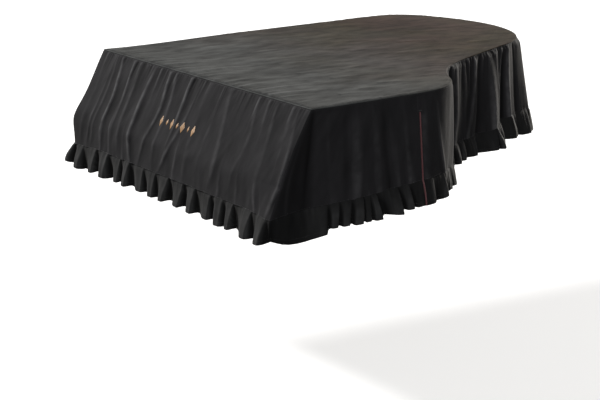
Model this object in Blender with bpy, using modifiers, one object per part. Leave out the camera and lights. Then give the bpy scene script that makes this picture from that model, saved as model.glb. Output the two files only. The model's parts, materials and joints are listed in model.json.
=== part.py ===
"""Fitted cloth cover of a grand piano, in the shape in which it hangs.

Metres, +Z up.  +X is the player's right (the cheek side), +Y runs to the tail.
The origin lies on the underside of the flat top, midway between the straight spine
side and the cheek side, 0.6 m behind the front edge of the top: there the piano's
lid carries the cover.  The cover is hollow and open below.

A maker cuts a flat top, a front panel that slopes out over the keyboard, a cheek
panel, a rear panel round the bentside and the tail, a spine panel, and three long
pleated frill strips, and sews a cord of piping down the vent in the cheek side.
"""
import math

import bpy
import numpy as np

# Cloth and seams
CLOTH = 0.002               # thickness of the doubled cloth
GAP = 0.0003                # clearance between two pieces that are sewn together

# Top
HALF_WIDTH = 0.750          # from the middle to the spine edge or the cheek edge
FRONT_Y = -0.600            # front edge of the top

# Skirt
FRONT_DROP = 0.350          # from the top down to the frill's seam, at the front
CHEEK_DROP = 0.297          # the same at the vent
REAR_DROP = 0.295           # the same behind the vent and round the tail
CHEEK_FLARE = 0.022         # how far the cheek panel stands out at the frill's seam
SPINE_FLARE = 0.012         # the same on the straight spine side

# Frill
FRONT_FRILL_HEIGHT = 0.087  # upright height of the frill along the front
SPINE_FRILL_HEIGHT = 0.074  # the same along the spine side
REAR_FRILL_HEIGHT = 0.080   # the same behind the vent
SPINE_FRILL_FLARE = 0.020   # how far its hem stands out from its seam, on the spine side
REAR_FRILL_FLARE = 0.018    # the same behind the vent
SPINE_CORNER_OUT = 0.050    # how far the hem stands out at the spine corner
CHEEK_CORNER_OUT = 0.006    # the same at the cheek corner
VENT_OUT = 0.018            # the same at the vent
VENT_LEVEL = 0.018          # length of hem beside the vent that stands out evenly
CORNER_REACH = 0.110        # how far from a front corner that is felt
FRILL_SEAM = 0.004          # narrow strip below the seam that isn't pleated yet
FRILL_JOIN = 0.80           # share of the spine side at which two frill strips are joined
CREST = 0.020               # width of the crest of a pleat that is in a table
PLEAT_PITCH = 0.094         # elsewhere: one pleat and one recess, along the seam
PLEAT_DEPTH = 0.013         # half the way from recess to pleat at the hem
PLEAT_WANDER = 0.16         # pleats shift by this share of a pitch, in slow waves
WANDER_WAVE = 5.3           # those waves, in radians a metre
PLEAT_UNEVEN = 0.25         # pleats are deeper or flatter by this share
UNEVEN_WAVE = 11.7          # in waves of this many radians a metre

# Vent in the cheek side, edged with piping
VENT_AT = 0.438             # distance of the vent behind the front edge of the top
VENT_TOP = 0.061            # the vent starts this far below the top
PIPING_RADIUS = 0.0025
PIPING_POINTS = 12

# Edge of the top, from the front corner of the cheek round to the tail.
# A straight stretch gives its length and no turn, an arc its radius and its turn.
EDGE_ROWS = (
    # stretch, length or radius, turn to the left in degrees
    ("cheek", 0.455, 0.0),
    ("shoulder", 0.250, 62.0),
    ("hollow", 0.710, -35.5),
    ("run", 0.335, 0.0),
    ("bow", 0.510, 40.0),
    ("tail", 0.660, 51.0),
    ("spine corner", None, 0.0),            # worked out so that the spine is straight
)
ARC_STEP = 0.022            # longest chord along an arc of the top
NEAR = 1e-9                 # stretches meet to within rounding

# Rows of points down the panels.  The cloth falls straight from the top's edge for a
# few millimetres, and straight again along the frill's seam.
PANEL_ROWS = (
    # share of the drop, share of the shape, front panel's throw before the top's front
    # edge, what is added to that throw at the cheek corner
    (0.000, 0.00, 0.000, 0.000),
    (0.017, 0.00, 0.000, 0.000),
    (0.340, 0.34, 0.063, 0.000),
    (0.700, 0.70, 0.138, -0.014),
    (0.986, 1.00, 0.150, 0.018),
    (1.000, 1.00, 0.150, 0.018),
)

BEND_ROW = 3                # the row at which the front panel turns upright
CORNER_THROW_WIDTH = 0.160  # how far the cheek corner's own line is felt along the front
FOLD_CALM = 0.060           # no fold lies nearer than this to an upright seam
TAIL_SEAM_CALM = 0.100      # the same at the seam of the spine and rear panels
FLARE_REACH = 0.200         # a side panel's flare grows over this length behind the front
FOLD_MIDDLE = 0.45          # share of the drop at which a fold has its "mid" height

# Number of strips of faces along each panel
FRONT_STRIPS = 112
CHEEK_STRIPS = 36
REAR_STRIPS = 92
SPINE_STRIPS = 50

# Folds.  Each row is one soft ridge (or, with a minus sign, one trough) that starts
# at the top seam, is "mid" high halfway down and "low" high at the frill's seam.
FRONT_FOLDS = (
    # across x, drift on its way down, half width, mid, low
    (-0.600, 0.015, 0.040, 0.007, 0.003),
    (-0.500, 0.010, 0.036, 0.009, 0.005),
    (-0.345, 0.045, 0.042, 0.014, 0.012),
    (-0.204, 0.010, 0.040, 0.012, 0.006),
    (-0.120, 0.030, 0.034, 0.006, 0.007),
    (-0.039, 0.015, 0.036, 0.010, 0.003),
    (0.120, 0.030, 0.050, 0.004, 0.007),
    (0.227, 0.080, 0.042, 0.008, 0.010),
    (0.428, 0.045, 0.040, 0.010, 0.006),
    (0.530, 0.020, 0.040, 0.008, 0.006),
    (0.645, 0.015, 0.036, 0.007, 0.004),
)
CHEEK_FOLDS = (
    # along y, drift, half width, mid, low
    (-0.650, -0.020, 0.080, -0.018, -0.030),
    (-0.585, -0.050, 0.045, 0.008, 0.014),
    (-0.450, 0.005, 0.040, -0.010, -0.013),
    (-0.390, 0.000, 0.040, 0.005, 0.007),
    (-0.285, 0.005, 0.045, -0.006, -0.008),
)
REAR_FLARE = (
    # distance round the edge, how far the panel stands out there at the frill's seam
    (0.438, 0.022),
    (0.580, 0.010),
    (0.700, 0.003),
    (1.000, 0.005),
    (1.300, 0.008),
    (1.550, 0.014),
    (1.720, 0.032),
    (1.900, 0.036),
    (2.300, 0.026),
    (2.636, 0.012),
)
REAR_FOLDS = (
    # distance round the edge, drift, half width, mid, low
    (0.530, 0.060, 0.055, 0.006, 0.009),
    (0.850, 0.010, 0.090, -0.006, -0.008),
    (1.000, 0.000, 0.060, 0.006, 0.008),
    (1.090, 0.010, 0.055, 0.010, 0.013),
    (1.180, -0.015, 0.050, 0.007, 0.008),
    (1.250, -0.030, 0.050, 0.012, 0.008),
    (1.315, 0.000, 0.060, -0.016, -0.024),
    (1.385, 0.040, 0.055, 0.016, 0.020),
    (1.500, -0.045, 0.050, 0.010, 0.006),
    (1.585, 0.010, 0.050, 0.012, 0.012),
    (1.650, 0.010, 0.045, -0.006, -0.008),
    (1.730, 0.010, 0.075, 0.022, 0.026),
    (1.870, 0.000, 0.070, 0.010, 0.014),
    (2.010, 0.015, 0.070, 0.012, 0.016),
    (2.160, -0.020, 0.075, 0.008, 0.014),
    (2.300, 0.010, 0.065, 0.011, 0.016),
    (2.440, 0.000, 0.070, 0.010, 0.016),
)
SPINE_FOLDS = (
    # along y, drift, half width, mid, low
    (0.560, 0.010, 0.080, 0.006, 0.010),
    (0.330, -0.010, 0.090, 0.005, 0.009),
    (0.100, 0.010, 0.080, 0.007, 0.011),
    (-0.160, 0.000, 0.090, 0.005, 0.008),
    (-0.390, -0.010, 0.080, 0.006, 0.010),
)

# Pleats that open towards the hem, each with its crest just before its recess
FRONT_PLEATS = (
    # recess at x, steep flank before it, crest's hem stands out, recess's hem stands out
    (-0.645, 0.043, 0.033, 0.002),
    (-0.575, 0.010, 0.024, -0.011),
    (-0.440, 0.048, 0.030, -0.005),
    (-0.368, 0.012, 0.015, -0.012),
    (-0.263, 0.020, 0.021, -0.006),
    (-0.150, 0.025, 0.012, -0.004),
    (-0.058, 0.025, 0.015, -0.002),
    (0.015, 0.022, 0.016, -0.017),
    (0.106, 0.012, 0.009, -0.018),
    (0.226, 0.022, 0.016, -0.011),
    (0.318, 0.020, 0.008, -0.018),
    (0.440, 0.030, 0.020, 0.000),
    (0.513, 0.014, 0.018, -0.011),
    (0.622, 0.022, 0.030, 0.001),
)
CHEEK_PLEATS = (
    # recess at y, steep flank before it, crest's hem stands out, recess's hem stands out
    (-0.680, 0.008, 0.026, 0.016),
    (-0.513, 0.015, 0.024, 0.004),
    (-0.469, 0.010, 0.022, 0.006),
    (-0.425, 0.008, 0.024, 0.002),
    (-0.385, 0.015, 0.022, 0.006),
    (-0.300, 0.030, 0.028, 0.004),
    (-0.246, 0.012, 0.026, 0.006),
    (-0.195, 0.012, 0.024, 0.006),
)
CHEEK_HEM = (
    # along y, upright height of the cheek side's frill
    (-0.768, 0.068),
    (-0.720, 0.083),
    (-0.690, 0.091),
    (-0.600, 0.096),
    (-0.545, 0.094),
    (-0.530, 0.078),
    (-0.390, 0.084),
    (-0.250, 0.088),
    (-0.162, 0.087),
)

# Colours of the charcoal cloth and the dark red piping, linear
CHARCOAL = (0.030, 0.030, 0.031, 1.0)
CHARCOAL_FRILL = (0.024, 0.024, 0.025, 1.0)
DARK_RED = (0.200, 0.008, 0.014, 1.0)


def clear_scene():
    """Take every object out of the open file."""
    for thing in list(bpy.data.objects):
        bpy.data.objects.remove(thing, do_unlink=True)


def new_collection(name):
    """A collection of its own for the cover's pieces."""
    collection = bpy.data.collections.new(name)
    bpy.context.scene.collection.children.link(collection)
    return collection


def new_material(name, colour, roughness):
    """Plain dyed cloth."""
    material = bpy.data.materials.new(name)
    material.use_nodes = True
    shader = material.node_tree.nodes["Principled BSDF"]
    shader.inputs["Base Color"].default_value = colour
    shader.inputs["Roughness"].default_value = roughness
    shader.inputs["Metallic"].default_value = 0.0
    return material


def edge_stretches():
    """The edge of the top as (start distance, length, start point, heading, curvature).

    The last arc turns the tail into the straight spine side: its turn is what is left
    to make half a circle, and its radius brings it onto the spine edge.
    """
    stretches = []
    distance = 0.0
    x = HALF_WIDTH
    y = FRONT_Y
    heading = math.radians(90.0)
    for name, size, turn_degrees in EDGE_ROWS:
        turn = math.radians(turn_degrees)
        if name == "spine corner":
            turn = math.radians(270.0) - heading
            size = (-HALF_WIDTH - x) / (math.sin(heading + turn) - math.sin(heading))
        if turn == 0.0:
            stretches.append((distance, size, x, y, heading, 0.0))
            distance += size
            x += size * math.cos(heading)
            y += size * math.sin(heading)
        else:
            bend = math.copysign(1.0 / size, turn)
            stretches.append((distance, size * abs(turn), x, y, heading, bend))
            distance += size * abs(turn)
            x += (math.sin(heading + turn) - math.sin(heading)) / bend
            y -= (math.cos(heading + turn) - math.cos(heading)) / bend
            heading += turn
    return stretches


EDGE = edge_stretches()
HEIGHT = np.array(PANEL_ROWS)[:, 0:1]       # share of the drop, one row of points each
DOWN = np.array(PANEL_ROWS)[:, 1:2]         # share of the shape in the same rows
THROW = np.array(PANEL_ROWS)[:, 2:3]        # the front panel's throw in the same rows
CORNER_THROW = np.array(PANEL_ROWS)[:, 3:4]
EDGE_END = EDGE[-1][0] + EDGE[-1][1]        # where the tail's corner meets the spine


def edge_at(distance):
    """Points on the top's edge and its outward directions, at each distance round it."""
    distance = np.asarray(distance, dtype=float)
    x = np.zeros(distance.shape)
    y = np.zeros(distance.shape)
    angle = np.zeros(distance.shape)
    for start, length, start_x, start_y, heading, bend in EDGE:
        here = (distance >= start - NEAR) & (distance <= start + length + NEAR)
        along = distance[here] - start
        if bend == 0.0:
            angle[here] = heading
            x[here] = start_x + along * math.cos(heading)
            y[here] = start_y + along * math.sin(heading)
        else:
            turned = heading + along * bend
            angle[here] = turned
            x[here] = start_x + (np.sin(turned) - math.sin(heading)) / bend
            y[here] = start_y - (np.cos(turned) - math.cos(heading)) / bend
    return x, y, np.sin(angle), -np.cos(angle)


def spine_corner_y():
    """Where the straight spine side starts, seen from the tail."""
    return float(edge_at(np.array([EDGE_END]))[1][0])


def swell(along, down, rows):
    """How far the folds lift the cloth: a sum of rounded ridges and troughs."""
    total = np.zeros(np.broadcast(along, down).shape)
    for centre, drift, half_width, mid, low in rows:
        across = np.clip((along - centre - drift * down) / half_width, -1.0, 1.0)
        height = np.interp(down, (0.0, FOLD_MIDDLE, 1.0), (0.0, mid, low))
        total += height * (0.5 + 0.5 * np.cos(math.pi * across))
    return total


def ease(share):
    """0 below 0, 1 above 1, and an S-shaped rise between them."""
    share = np.clip(share, 0.0, 1.0)
    return share * share * (3.0 - 2.0 * share)


def near_zero_at(along, place, reach):
    """A factor that is 0 at a place and 1 further than the reach from it."""
    return ease(abs(along - place) / reach)


def grid(x, y, z):
    """One array of points from three that broadcast together."""
    return np.stack(np.broadcast_arrays(x, y, z), axis=-1)


def front_y(x):
    """The front panel's surface without its folds, and its own line at the cheek corner."""
    near = ease((x - HALF_WIDTH + CORNER_THROW_WIDTH) / CORNER_THROW_WIDTH)
    return FRONT_Y - THROW - CORNER_THROW * near


def front_grid():
    """Front panel, from the spine corner to the cheek corner."""
    x = np.linspace(-HALF_WIDTH, HALF_WIDTH, FRONT_STRIPS + 1)[None, :]
    calm = near_zero_at(x, -HALF_WIDTH, FOLD_CALM) * near_zero_at(x, HALF_WIDTH, FOLD_CALM)
    y = front_y(x) - swell(x, DOWN, FRONT_FOLDS) * calm
    return grid(x, y, -FRONT_DROP * HEIGHT)


def front_seam_y(x):
    """The line to which a side panel reaches forward, just behind the front panel."""
    lean = math.hypot(1.0, THROW[BEND_ROW, 0] / (FRONT_DROP * HEIGHT[BEND_ROW, 0]))
    return front_y(x) + (CLOTH + GAP) * lean


def cheek_grid():
    """Cheek panel, from the front panel back to the vent."""
    share = np.linspace(0.0, 1.0, CHEEK_STRIPS + 1)[None, :]
    first = front_seam_y(HALF_WIDTH)
    last = FRONT_Y + VENT_AT - GAP / 2
    y = first + (last - first) * share
    flare = CHEEK_FLARE * DOWN * near_zero_at(y, first, FLARE_REACH)
    calm = near_zero_at(y, first, FOLD_CALM) * near_zero_at(y, last, FOLD_CALM)
    x = HALF_WIDTH + flare + swell(y, DOWN, CHEEK_FOLDS) * calm
    drop = FRONT_DROP + (CHEEK_DROP - FRONT_DROP) * share
    return grid(x, y, -drop * HEIGHT)


def rear_grid():
    """Rear panel, from the vent round the bentside and the tail to the spine side."""
    first = VENT_AT + GAP / 2
    last = EDGE_END - GAP / 2
    distance = np.linspace(first, last, REAR_STRIPS + 1)[None, :]
    edge_x, edge_y, out_x, out_y = edge_at(distance)
    flare_at, flare = np.array(REAR_FLARE).T
    calm = near_zero_at(distance, first, FOLD_CALM)
    calm = calm * near_zero_at(distance, last, TAIL_SEAM_CALM)
    out = np.interp(distance, flare_at, flare) * DOWN + swell(distance, DOWN, REAR_FOLDS) * calm
    return grid(edge_x + out_x * out, edge_y + out_y * out, -REAR_DROP * HEIGHT)


def spine_grid():
    """Spine panel, from the tail's corner forward to the front panel."""
    share = np.linspace(0.0, 1.0, SPINE_STRIPS + 1)[None, :]
    first = spine_corner_y() - GAP / 2
    last = front_seam_y(-HALF_WIDTH)
    y = first + (last - first) * share
    calm = near_zero_at(y, last, FOLD_CALM) * near_zero_at(y, first, TAIL_SEAM_CALM)
    flare = SPINE_FLARE * DOWN * near_zero_at(y, last, FLARE_REACH)
    x = -HALF_WIDTH - flare - swell(y, DOWN, SPINE_FOLDS) * calm
    drop = REAR_DROP + (FRONT_DROP - REAR_DROP) * share
    return grid(x, y, -drop * HEIGHT)


def outward_of(line):
    """Level outward directions along a line of points that runs anticlockwise."""
    step = np.gradient(line[:, :2], axis=0)
    out = np.stack([step[:, 1], -step[:, 0]], axis=1)
    padded = np.concatenate([out[:1], out[:1], out, out[-1:], out[-1:]])
    smooth = sum(padded[first:first + len(out)] for first in range(5))
    return smooth / np.linalg.norm(smooth, axis=1)[:, None]


def distance_along(line):
    """Level distances along a line of points, from its first point."""
    steps = np.linalg.norm(np.diff(line[:, :2], axis=0), axis=1)
    return np.concatenate([[0.0], np.cumsum(steps)])


def wave_swing(seam, flare, *joins):
    """How far a hem stands out where the pleats follow one another as uneven waves.

    The strip lies flat at its ends and at the numbered points where it is joined.
    """
    along = distance_along(seam)
    phase = 2.0 * math.pi * (along / PLEAT_PITCH + PLEAT_WANDER * np.sin(WANDER_WAVE * along))
    depth = PLEAT_DEPTH * (1.0 + PLEAT_UNEVEN * np.sin(UNEVEN_WAVE * along))
    for join in (0, -1, *joins):
        depth = depth * near_zero_at(along, along[join], FOLD_CALM)
    return flare + depth * np.cos(phase)


def pleat_swing(place, rows, first, *last):
    """How far a hem stands out where each pleat has its own row: straight from recess
    to crest, level along the crest, and steeply back into the next recess."""
    knots = [first]
    for recess, flank, crest_out, recess_out in rows:
        knots.append((recess - flank - CREST, crest_out))
        knots.append((recess - flank, crest_out))
        knots.append((recess, recess_out))
    knots.extend(last)
    at, out = np.array(knots).T
    return np.interp(place, at, out)


def frill_grid(seam, height, swing):
    """A frill under a seam line: its top edge, the strip below it, and its hem.

    The strip falls straight.  From there the pleats open, and the hem stands out by
    the swing.
    """
    top = seam - np.array([0.0, 0.0, GAP])
    start = top - np.array([0.0, 0.0, FRILL_SEAM])
    hem = start.copy()
    hem[:, :2] += outward_of(seam) * swing[:, None]
    hem[:, 2] -= height - FRILL_SEAM
    return np.stack([top, start, hem])


def corner_ease(seam, corner):
    """1 at a corner of the seam, falling to 0 away from it."""
    away = np.linalg.norm(seam[:, :2] - seam[corner, :2], axis=1)
    return 1.0 - ease(away / CORNER_REACH)


def frill_strips(spine, front, cheek, rear):
    """The three frill strips: most of the spine side; the rest of it, the front and the
    cheek side as far as the vent; and everything behind the vent."""
    seam = np.concatenate([spine[-1, :-1], front[-1], cheek[-1, 1:]])
    first_corner = SPINE_STRIPS
    last_corner = SPINE_STRIPS + FRONT_STRIPS
    in_front = slice(first_corner, last_corner + 1)
    beside = slice(last_corner, len(seam))
    join = round(FRILL_JOIN * SPINE_STRIPS)
    out = wave_swing(seam, SPINE_FRILL_FLARE, join)
    corner = corner_ease(seam, first_corner)
    out[:first_corner] += (SPINE_CORNER_OUT - out[:first_corner]) * corner[:first_corner]
    ends = ((-HALF_WIDTH, SPINE_CORNER_OUT), (HALF_WIDTH, CHEEK_CORNER_OUT))
    out[in_front] = pleat_swing(seam[in_front, 0], FRONT_PLEATS, *ends)
    corner_y, vent_y = seam[[last_corner, -1], 1]
    ends = ((corner_y, CHEEK_CORNER_OUT), (vent_y - VENT_LEVEL, VENT_OUT), (vent_y, VENT_OUT))
    out[beside] = pleat_swing(seam[beside, 1], CHEEK_PLEATS, *ends)
    height = SPINE_FRILL_HEIGHT + (FRONT_FRILL_HEIGHT - SPINE_FRILL_HEIGHT) * corner
    corner = corner_ease(seam, last_corner)
    lift = (CHEEK_HEM[0][1] - FRONT_FRILL_HEIGHT) * corner
    height[in_front] = FRONT_FRILL_HEIGHT + lift[in_front]
    hem_at, hem_height = np.array(CHEEK_HEM).T
    height[beside] = np.interp(seam[beside, 1], hem_at, hem_height)
    whole = frill_grid(seam, height, out)
    spine_strip = whole[:, :join + 1].copy()
    spine_strip[:, -1, 1] += GAP
    behind = frill_grid(rear[-1], np.array(REAR_FRILL_HEIGHT), wave_swing(rear[-1], REAR_FRILL_FLARE))
    for strip, vent in ((whole, -1), (behind, 0)):
        strip[2, vent, 1] = strip[1, vent, 1]           # both end square at the vent
    return spine_strip, whole[:, join:], behind


def sheet(name, points, material, collection):
    """A sheet of cloth: a grid of faces whose outer side is the given surface."""
    rows, columns = points.shape[:2]
    index = np.arange(rows * columns).reshape(rows, columns)
    corners = (index[:-1, :-1], index[1:, :-1], index[1:, 1:], index[:-1, 1:])
    faces = np.stack(corners, axis=-1).reshape(-1, 4)
    mesh = bpy.data.meshes.new(name)
    mesh.from_pydata(points.reshape(-1, 3).tolist(), [], faces.tolist())
    mesh.materials.append(material)
    mesh.shade_smooth()
    piece = bpy.data.objects.new(name, mesh)
    collection.objects.link(piece)
    thickness = piece.modifiers.new("cloth thickness", "SOLIDIFY")
    thickness.thickness = CLOTH
    thickness.offset = -1.0
    thickness.use_even_offset = True
    return piece


def top_panel(material, collection):
    """The flat top: its outline filled and given the cloth's thickness."""
    distances = [np.array([0.0])]
    for start, length, _x, _y, _heading, bend in EDGE:
        count = 1 if bend == 0.0 else math.ceil(length / ARC_STEP)
        distances.append(start + length * np.arange(1, count + 1) / count)
    edge_x, edge_y, _out_x, _out_y = edge_at(np.concatenate(distances))
    outline = np.concatenate([np.stack([edge_x, edge_y], axis=1), [[-HALF_WIDTH, FRONT_Y]]])
    curve = bpy.data.curves.new("top_panel", "CURVE")
    curve.dimensions = "2D"
    curve.fill_mode = "BOTH"
    curve.extrude = CLOTH / 2
    spline = curve.splines.new("POLY")
    spline.points.add(len(outline) - 1)
    flat = np.zeros((len(outline), 4))
    flat[:, :2] = outline
    flat[:, 3] = 1.0
    spline.points.foreach_set("co", flat.ravel())
    spline.use_cyclic_u = True
    curve.materials.append(material)
    piece = bpy.data.objects.new("top_panel", curve)
    piece.location = (0.0, 0.0, CLOTH / 2)
    collection.objects.link(piece)
    return piece


def vent_piping(panel, frill, material, collection):
    """A cord of piping down the cheek side of the vent, on the outer face of the cloth."""
    line = np.concatenate([panel[:, -1], frill[1:, -1]])
    standoff = PIPING_RADIUS + GAP
    heights = np.linspace(-VENT_TOP, line[-1, 2] + GAP, PIPING_POINTS)
    order = np.argsort(line[:, 2])
    x = np.interp(heights, line[order, 2], line[order, 0]) + standoff
    y = np.interp(heights, line[order, 2], line[order, 1]) - standoff
    route = np.stack([x, y, heights, np.ones(len(x))], axis=1)
    curve = bpy.data.curves.new("vent_piping", "CURVE")
    curve.dimensions = "3D"
    curve.bevel_depth = PIPING_RADIUS
    curve.bevel_resolution = 2
    curve.use_fill_caps = True
    spline = curve.splines.new("POLY")
    spline.points.add(len(route) - 1)
    spline.points.foreach_set("co", route.ravel())
    curve.materials.append(material)
    piece = bpy.data.objects.new("vent_piping", curve)
    collection.objects.link(piece)
    return piece


def build():
    """All pieces of the cover."""
    clear_scene()
    cover = new_collection("grand_piano_cover")
    cloth = new_material("charcoal cloth", CHARCOAL, 0.9)
    frill_cloth = new_material("charcoal frill cloth", CHARCOAL_FRILL, 0.9)
    red = new_material("dark red piping", DARK_RED, 0.6)
    front = front_grid()
    cheek = cheek_grid()
    rear = rear_grid()
    spine = spine_grid()
    for panel in (front, cheek, rear, spine):
        panel[0, :, 2] -= GAP
    top_panel(cloth, cover)
    sheet("front_panel", front, cloth, cover)
    sheet("cheek_panel", cheek, cloth, cover)
    sheet("rear_panel", rear, cloth, cover)
    sheet("spine_panel", spine, cloth, cover)
    spine_frill, front_frill, rear_frill = frill_strips(spine, front, cheek, rear)
    sheet("spine_frill", spine_frill, frill_cloth, cover)
    sheet("front_frill", front_frill, frill_cloth, cover)
    sheet("rear_frill", rear_frill, frill_cloth, cover)
    vent_piping(cheek, front_frill, red, cover)


build()
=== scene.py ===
"""Finished look of the fitted cover of a grand piano.

Metres, +Z up.  +X is the player's right (the cheek side), +Y runs to the tail, and the
origin lies on the underside of the flat top.  Each piece of cloth is a grid of points:
one parameter runs along its seam, the other down the cloth, and the folds, gathers and
pleats are functions of the two.
"""
import json
import math

import bmesh
import bpy
import numpy as np
from mathutils import Matrix, Vector

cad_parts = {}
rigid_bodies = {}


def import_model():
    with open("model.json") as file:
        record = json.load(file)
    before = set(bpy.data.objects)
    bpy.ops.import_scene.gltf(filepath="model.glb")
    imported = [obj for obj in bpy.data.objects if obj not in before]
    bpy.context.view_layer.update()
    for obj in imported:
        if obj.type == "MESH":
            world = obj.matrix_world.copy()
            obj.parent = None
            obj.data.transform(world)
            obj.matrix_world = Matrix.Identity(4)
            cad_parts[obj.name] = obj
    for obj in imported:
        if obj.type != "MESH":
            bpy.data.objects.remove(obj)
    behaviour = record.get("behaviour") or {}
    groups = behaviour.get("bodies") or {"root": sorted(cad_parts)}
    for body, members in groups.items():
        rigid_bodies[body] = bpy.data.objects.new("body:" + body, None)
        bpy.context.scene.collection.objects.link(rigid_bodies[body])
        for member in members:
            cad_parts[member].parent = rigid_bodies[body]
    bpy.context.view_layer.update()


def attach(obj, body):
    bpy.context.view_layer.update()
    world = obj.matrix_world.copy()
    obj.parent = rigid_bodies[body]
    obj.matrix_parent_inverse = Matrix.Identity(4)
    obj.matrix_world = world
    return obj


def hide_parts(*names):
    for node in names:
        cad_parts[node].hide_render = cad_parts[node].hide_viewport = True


for thing in list(bpy.data.objects):
    bpy.data.objects.remove(thing, do_unlink=True)
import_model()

# ---------------------------------------------------------------- sizes of the cover
MM = 0.001                  # heights of folds and wrinkles are given in millimetres
CLOTH = 0.0020              # doubled cloth
FRILL_CLOTH = 0.0014        # single cloth of the frills, with its hem
GAP = 0.0003                # between two pieces that are sewn together
HALF_WIDTH = 0.750
FRONT_Y = -0.600
FRONT_DROP = 0.350          # from the top to the frill's seam, at the front
CHEEK_DROP = 0.297          # the same at the vent
REAR_SEAM = (
    # distance round the edge from its front corner, drop to the frill's seam
    (0.438, 0.297),
    (1.080, 0.300),
    (1.200, 0.307),
    (1.330, 0.307),
    (1.430, 0.286),
    (1.600, 0.284),
    (1.760, 0.290),
    (2.636, 0.295),
)
REAR_HEM = (
    # distance round the edge from its front corner, drop to the hem
    (0.438, 0.386),
    (0.540, 0.386),
    (0.620, 0.373),
    (1.150, 0.373),
    (1.250, 0.380),
    (1.400, 0.380),
    (1.460, 0.369),
    (1.560, 0.371),
    (1.620, 0.380),
    (1.750, 0.386),
    (2.636, 0.373),
)
VENT_AT = 0.438             # distance of the vent behind the front edge of the top
VENT_TOP = 0.061            # the vent starts this far below the top
UNDERLAP = 0.012            # the rear panel's edge lies this far under the cheek panel's
UNDERLAP_BEHIND = 0.0032    # and this far behind it
UNDERLAP_STEP = (-0.002, 0.008)     # where that is given back, from the vent, and its reach
UNDERLAP_OPENS = 0.020      # it grows over this drop below the vent's top
RIM_ROUND = 0.004           # rounding of the top's edge
RIM_FADES = 0.050           # the panels' tops are lowered under it, less down to here
TURN_BACK = 0.004           # the front panel's side edges turn back this far
ROUND_STEPS = (18.0, 36.0, 54.0, 72.0, 90.0)    # degrees, in both of those rounds
TOP_COLUMNS = 300           # lines of the top's grid, from front to back
TOP_ROWS = 140
FRONT_STEP = 0.0031         # columns of the panels' grids
CHEEK_STEP = 0.0062         # as a share of the panel, on the two straight sides
REAR_STEP = 0.0036
SPINE_STEP = 0.0037
FRONT_ROWS = 0.0132         # rows of the panels' grids, as a share of the drop
REAR_ROWS = 0.0160
ROWS_AT_TOP = (0.0, 0.004, 0.009, 0.017)    # closer rows along the two seams
ROWS_BETWEEN = (0.030, 0.968)
ROWS_AT_FRILL = (0.980, 0.991, 0.9965, 1.0)
FRONT_FRILL_STEP = 0.0027   # columns of the frills' grids
REAR_FRILL_STEP = 0.0028
FRONT_FRILL = 0.093         # upright heights of the frills
SPINE_FRILL = 0.076
LEFT_FRILL = 0.062          # at the front corner of the spine side
FRILL_JOIN = 0.80           # share of the spine side at which two strips are joined
FRILL_TUCK = 0.004          # a frill starts this far up behind the panel's edge
HEM_WIDTH = 0.012
HEM_ROW = 0.84              # share of a frill's height at which its hem is stitched
FLOOR_Z = -1.023            # the floor under the piano, with the lid 1.023 m above it

# ---------------------------------------------------------------- studio
CAMERA_AT = (5.2848, -3.5467, 1.1024)
CAMERA_TURN = (-57.427, 14.571, -1.058)     # about the upright, down, rolled
CAMERA_LENS = 101.71
SENSOR_WIDTH = 36.0
CAMERA_SEES = 200.0         # how far
LAMP_DISTANCE = 4.0
FLOOR_HALF = 60.0
ROOM_LIGHT = 0.09
LAMPS = (
    # name, azimuth, height, strength, spread, colour
    ("front left softbox", -66.0, 32.0, 3.7, 10.0, (1.0, 0.99, 0.98)),
    ("light behind the tail", 205.0, 12.0, 4.2, 10.0, (1.0, 0.96, 0.90)),
    ("cheek side fill", 54.0, 20.0, 1.35, 40.0, (0.97, 0.98, 1.0)),
)

# ---------------------------------------------------------------- edge, slope and corners
EDGE_ROWS = (
    # stretch, length or radius, turn to the left in degrees
    ("cheek", 0.455, 0.0),
    ("shoulder", 0.250, 62.0),
    ("hollow", 0.710, -35.5),
    ("run", 0.335, 0.0),
    ("bow", 0.510, 40.0),
    ("tail", 0.660, 51.0),
    ("spine corner", None, 0.0),
)

# Front panel: its throw before the top's front edge grows by one slope down to the bend
# over the keyboard's front rail, and by a smaller one below it.
BEND_AT = 0.70
UPPER_SLOPE = 0.197
LOWER_SLOPE = 0.040
BEND_SOFT = 0.030
CORNER_THROW = (
    # share of the drop, what is added to the throw at the cheek corner
    (0.00, 0.000),
    (0.34, 0.000),
    (0.70, -0.014),
    (1.00, 0.018),
)
CORNER_THROW_WIDTH = 0.160
FRONT_SEAM_DIP = 0.010      # the frill's seam lies this much lower by the spine corner

# A span is the place where something begins and the reach in which it becomes full; a
# reach below nothing runs back along the axis.
FRONT_DIP_ACROSS = (-0.52, -0.20)

# Spine corner: drawn out past the lid at the top, and bellied out above the bend.
CORNER_EAR = 0.010
EAR_FADES = 0.45            # share of the drop
SPINE_BELLY = 0.012         # sideways
FRONT_BELLY = 0.009         # forwards
BELLY_REACH = 0.20          # share of the drop, above and below the bend
FRONT_BELLY_ACROSS = (-0.62, -0.11)
SPINE_BELLY_ACROSS = (-0.66, -0.10)
SPINE_BELLY_ALONG = 0.11

# The lid's height and edge, where they depart from a flat lid and plain arcs.
LID_RISE = 0.0045           # its rear part stands this much higher than its front
LID_RISE_ALONG = (-0.45, 0.45)
SPINE_RISE = 0.0040         # its spine side this much more
SPINE_RISE_ALONG = (-0.40, 0.90)
SPINE_RISE_ACROSS = (0.05, -0.60)
TAIL_SINK = 1.8             # of which this many times is lost again at the tail
TAIL_SINK_ALONG = (0.72, 0.30)
RISE_FADES = 0.60           # share of the drop that takes the rise up
EDGE_SWELL = (
    # distance round the edge, reach, how far the lid's edge lies outside the plain arcs
    (0.960, 0.140, -0.007),
    (1.690, 0.160, 0.008),
)

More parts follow.
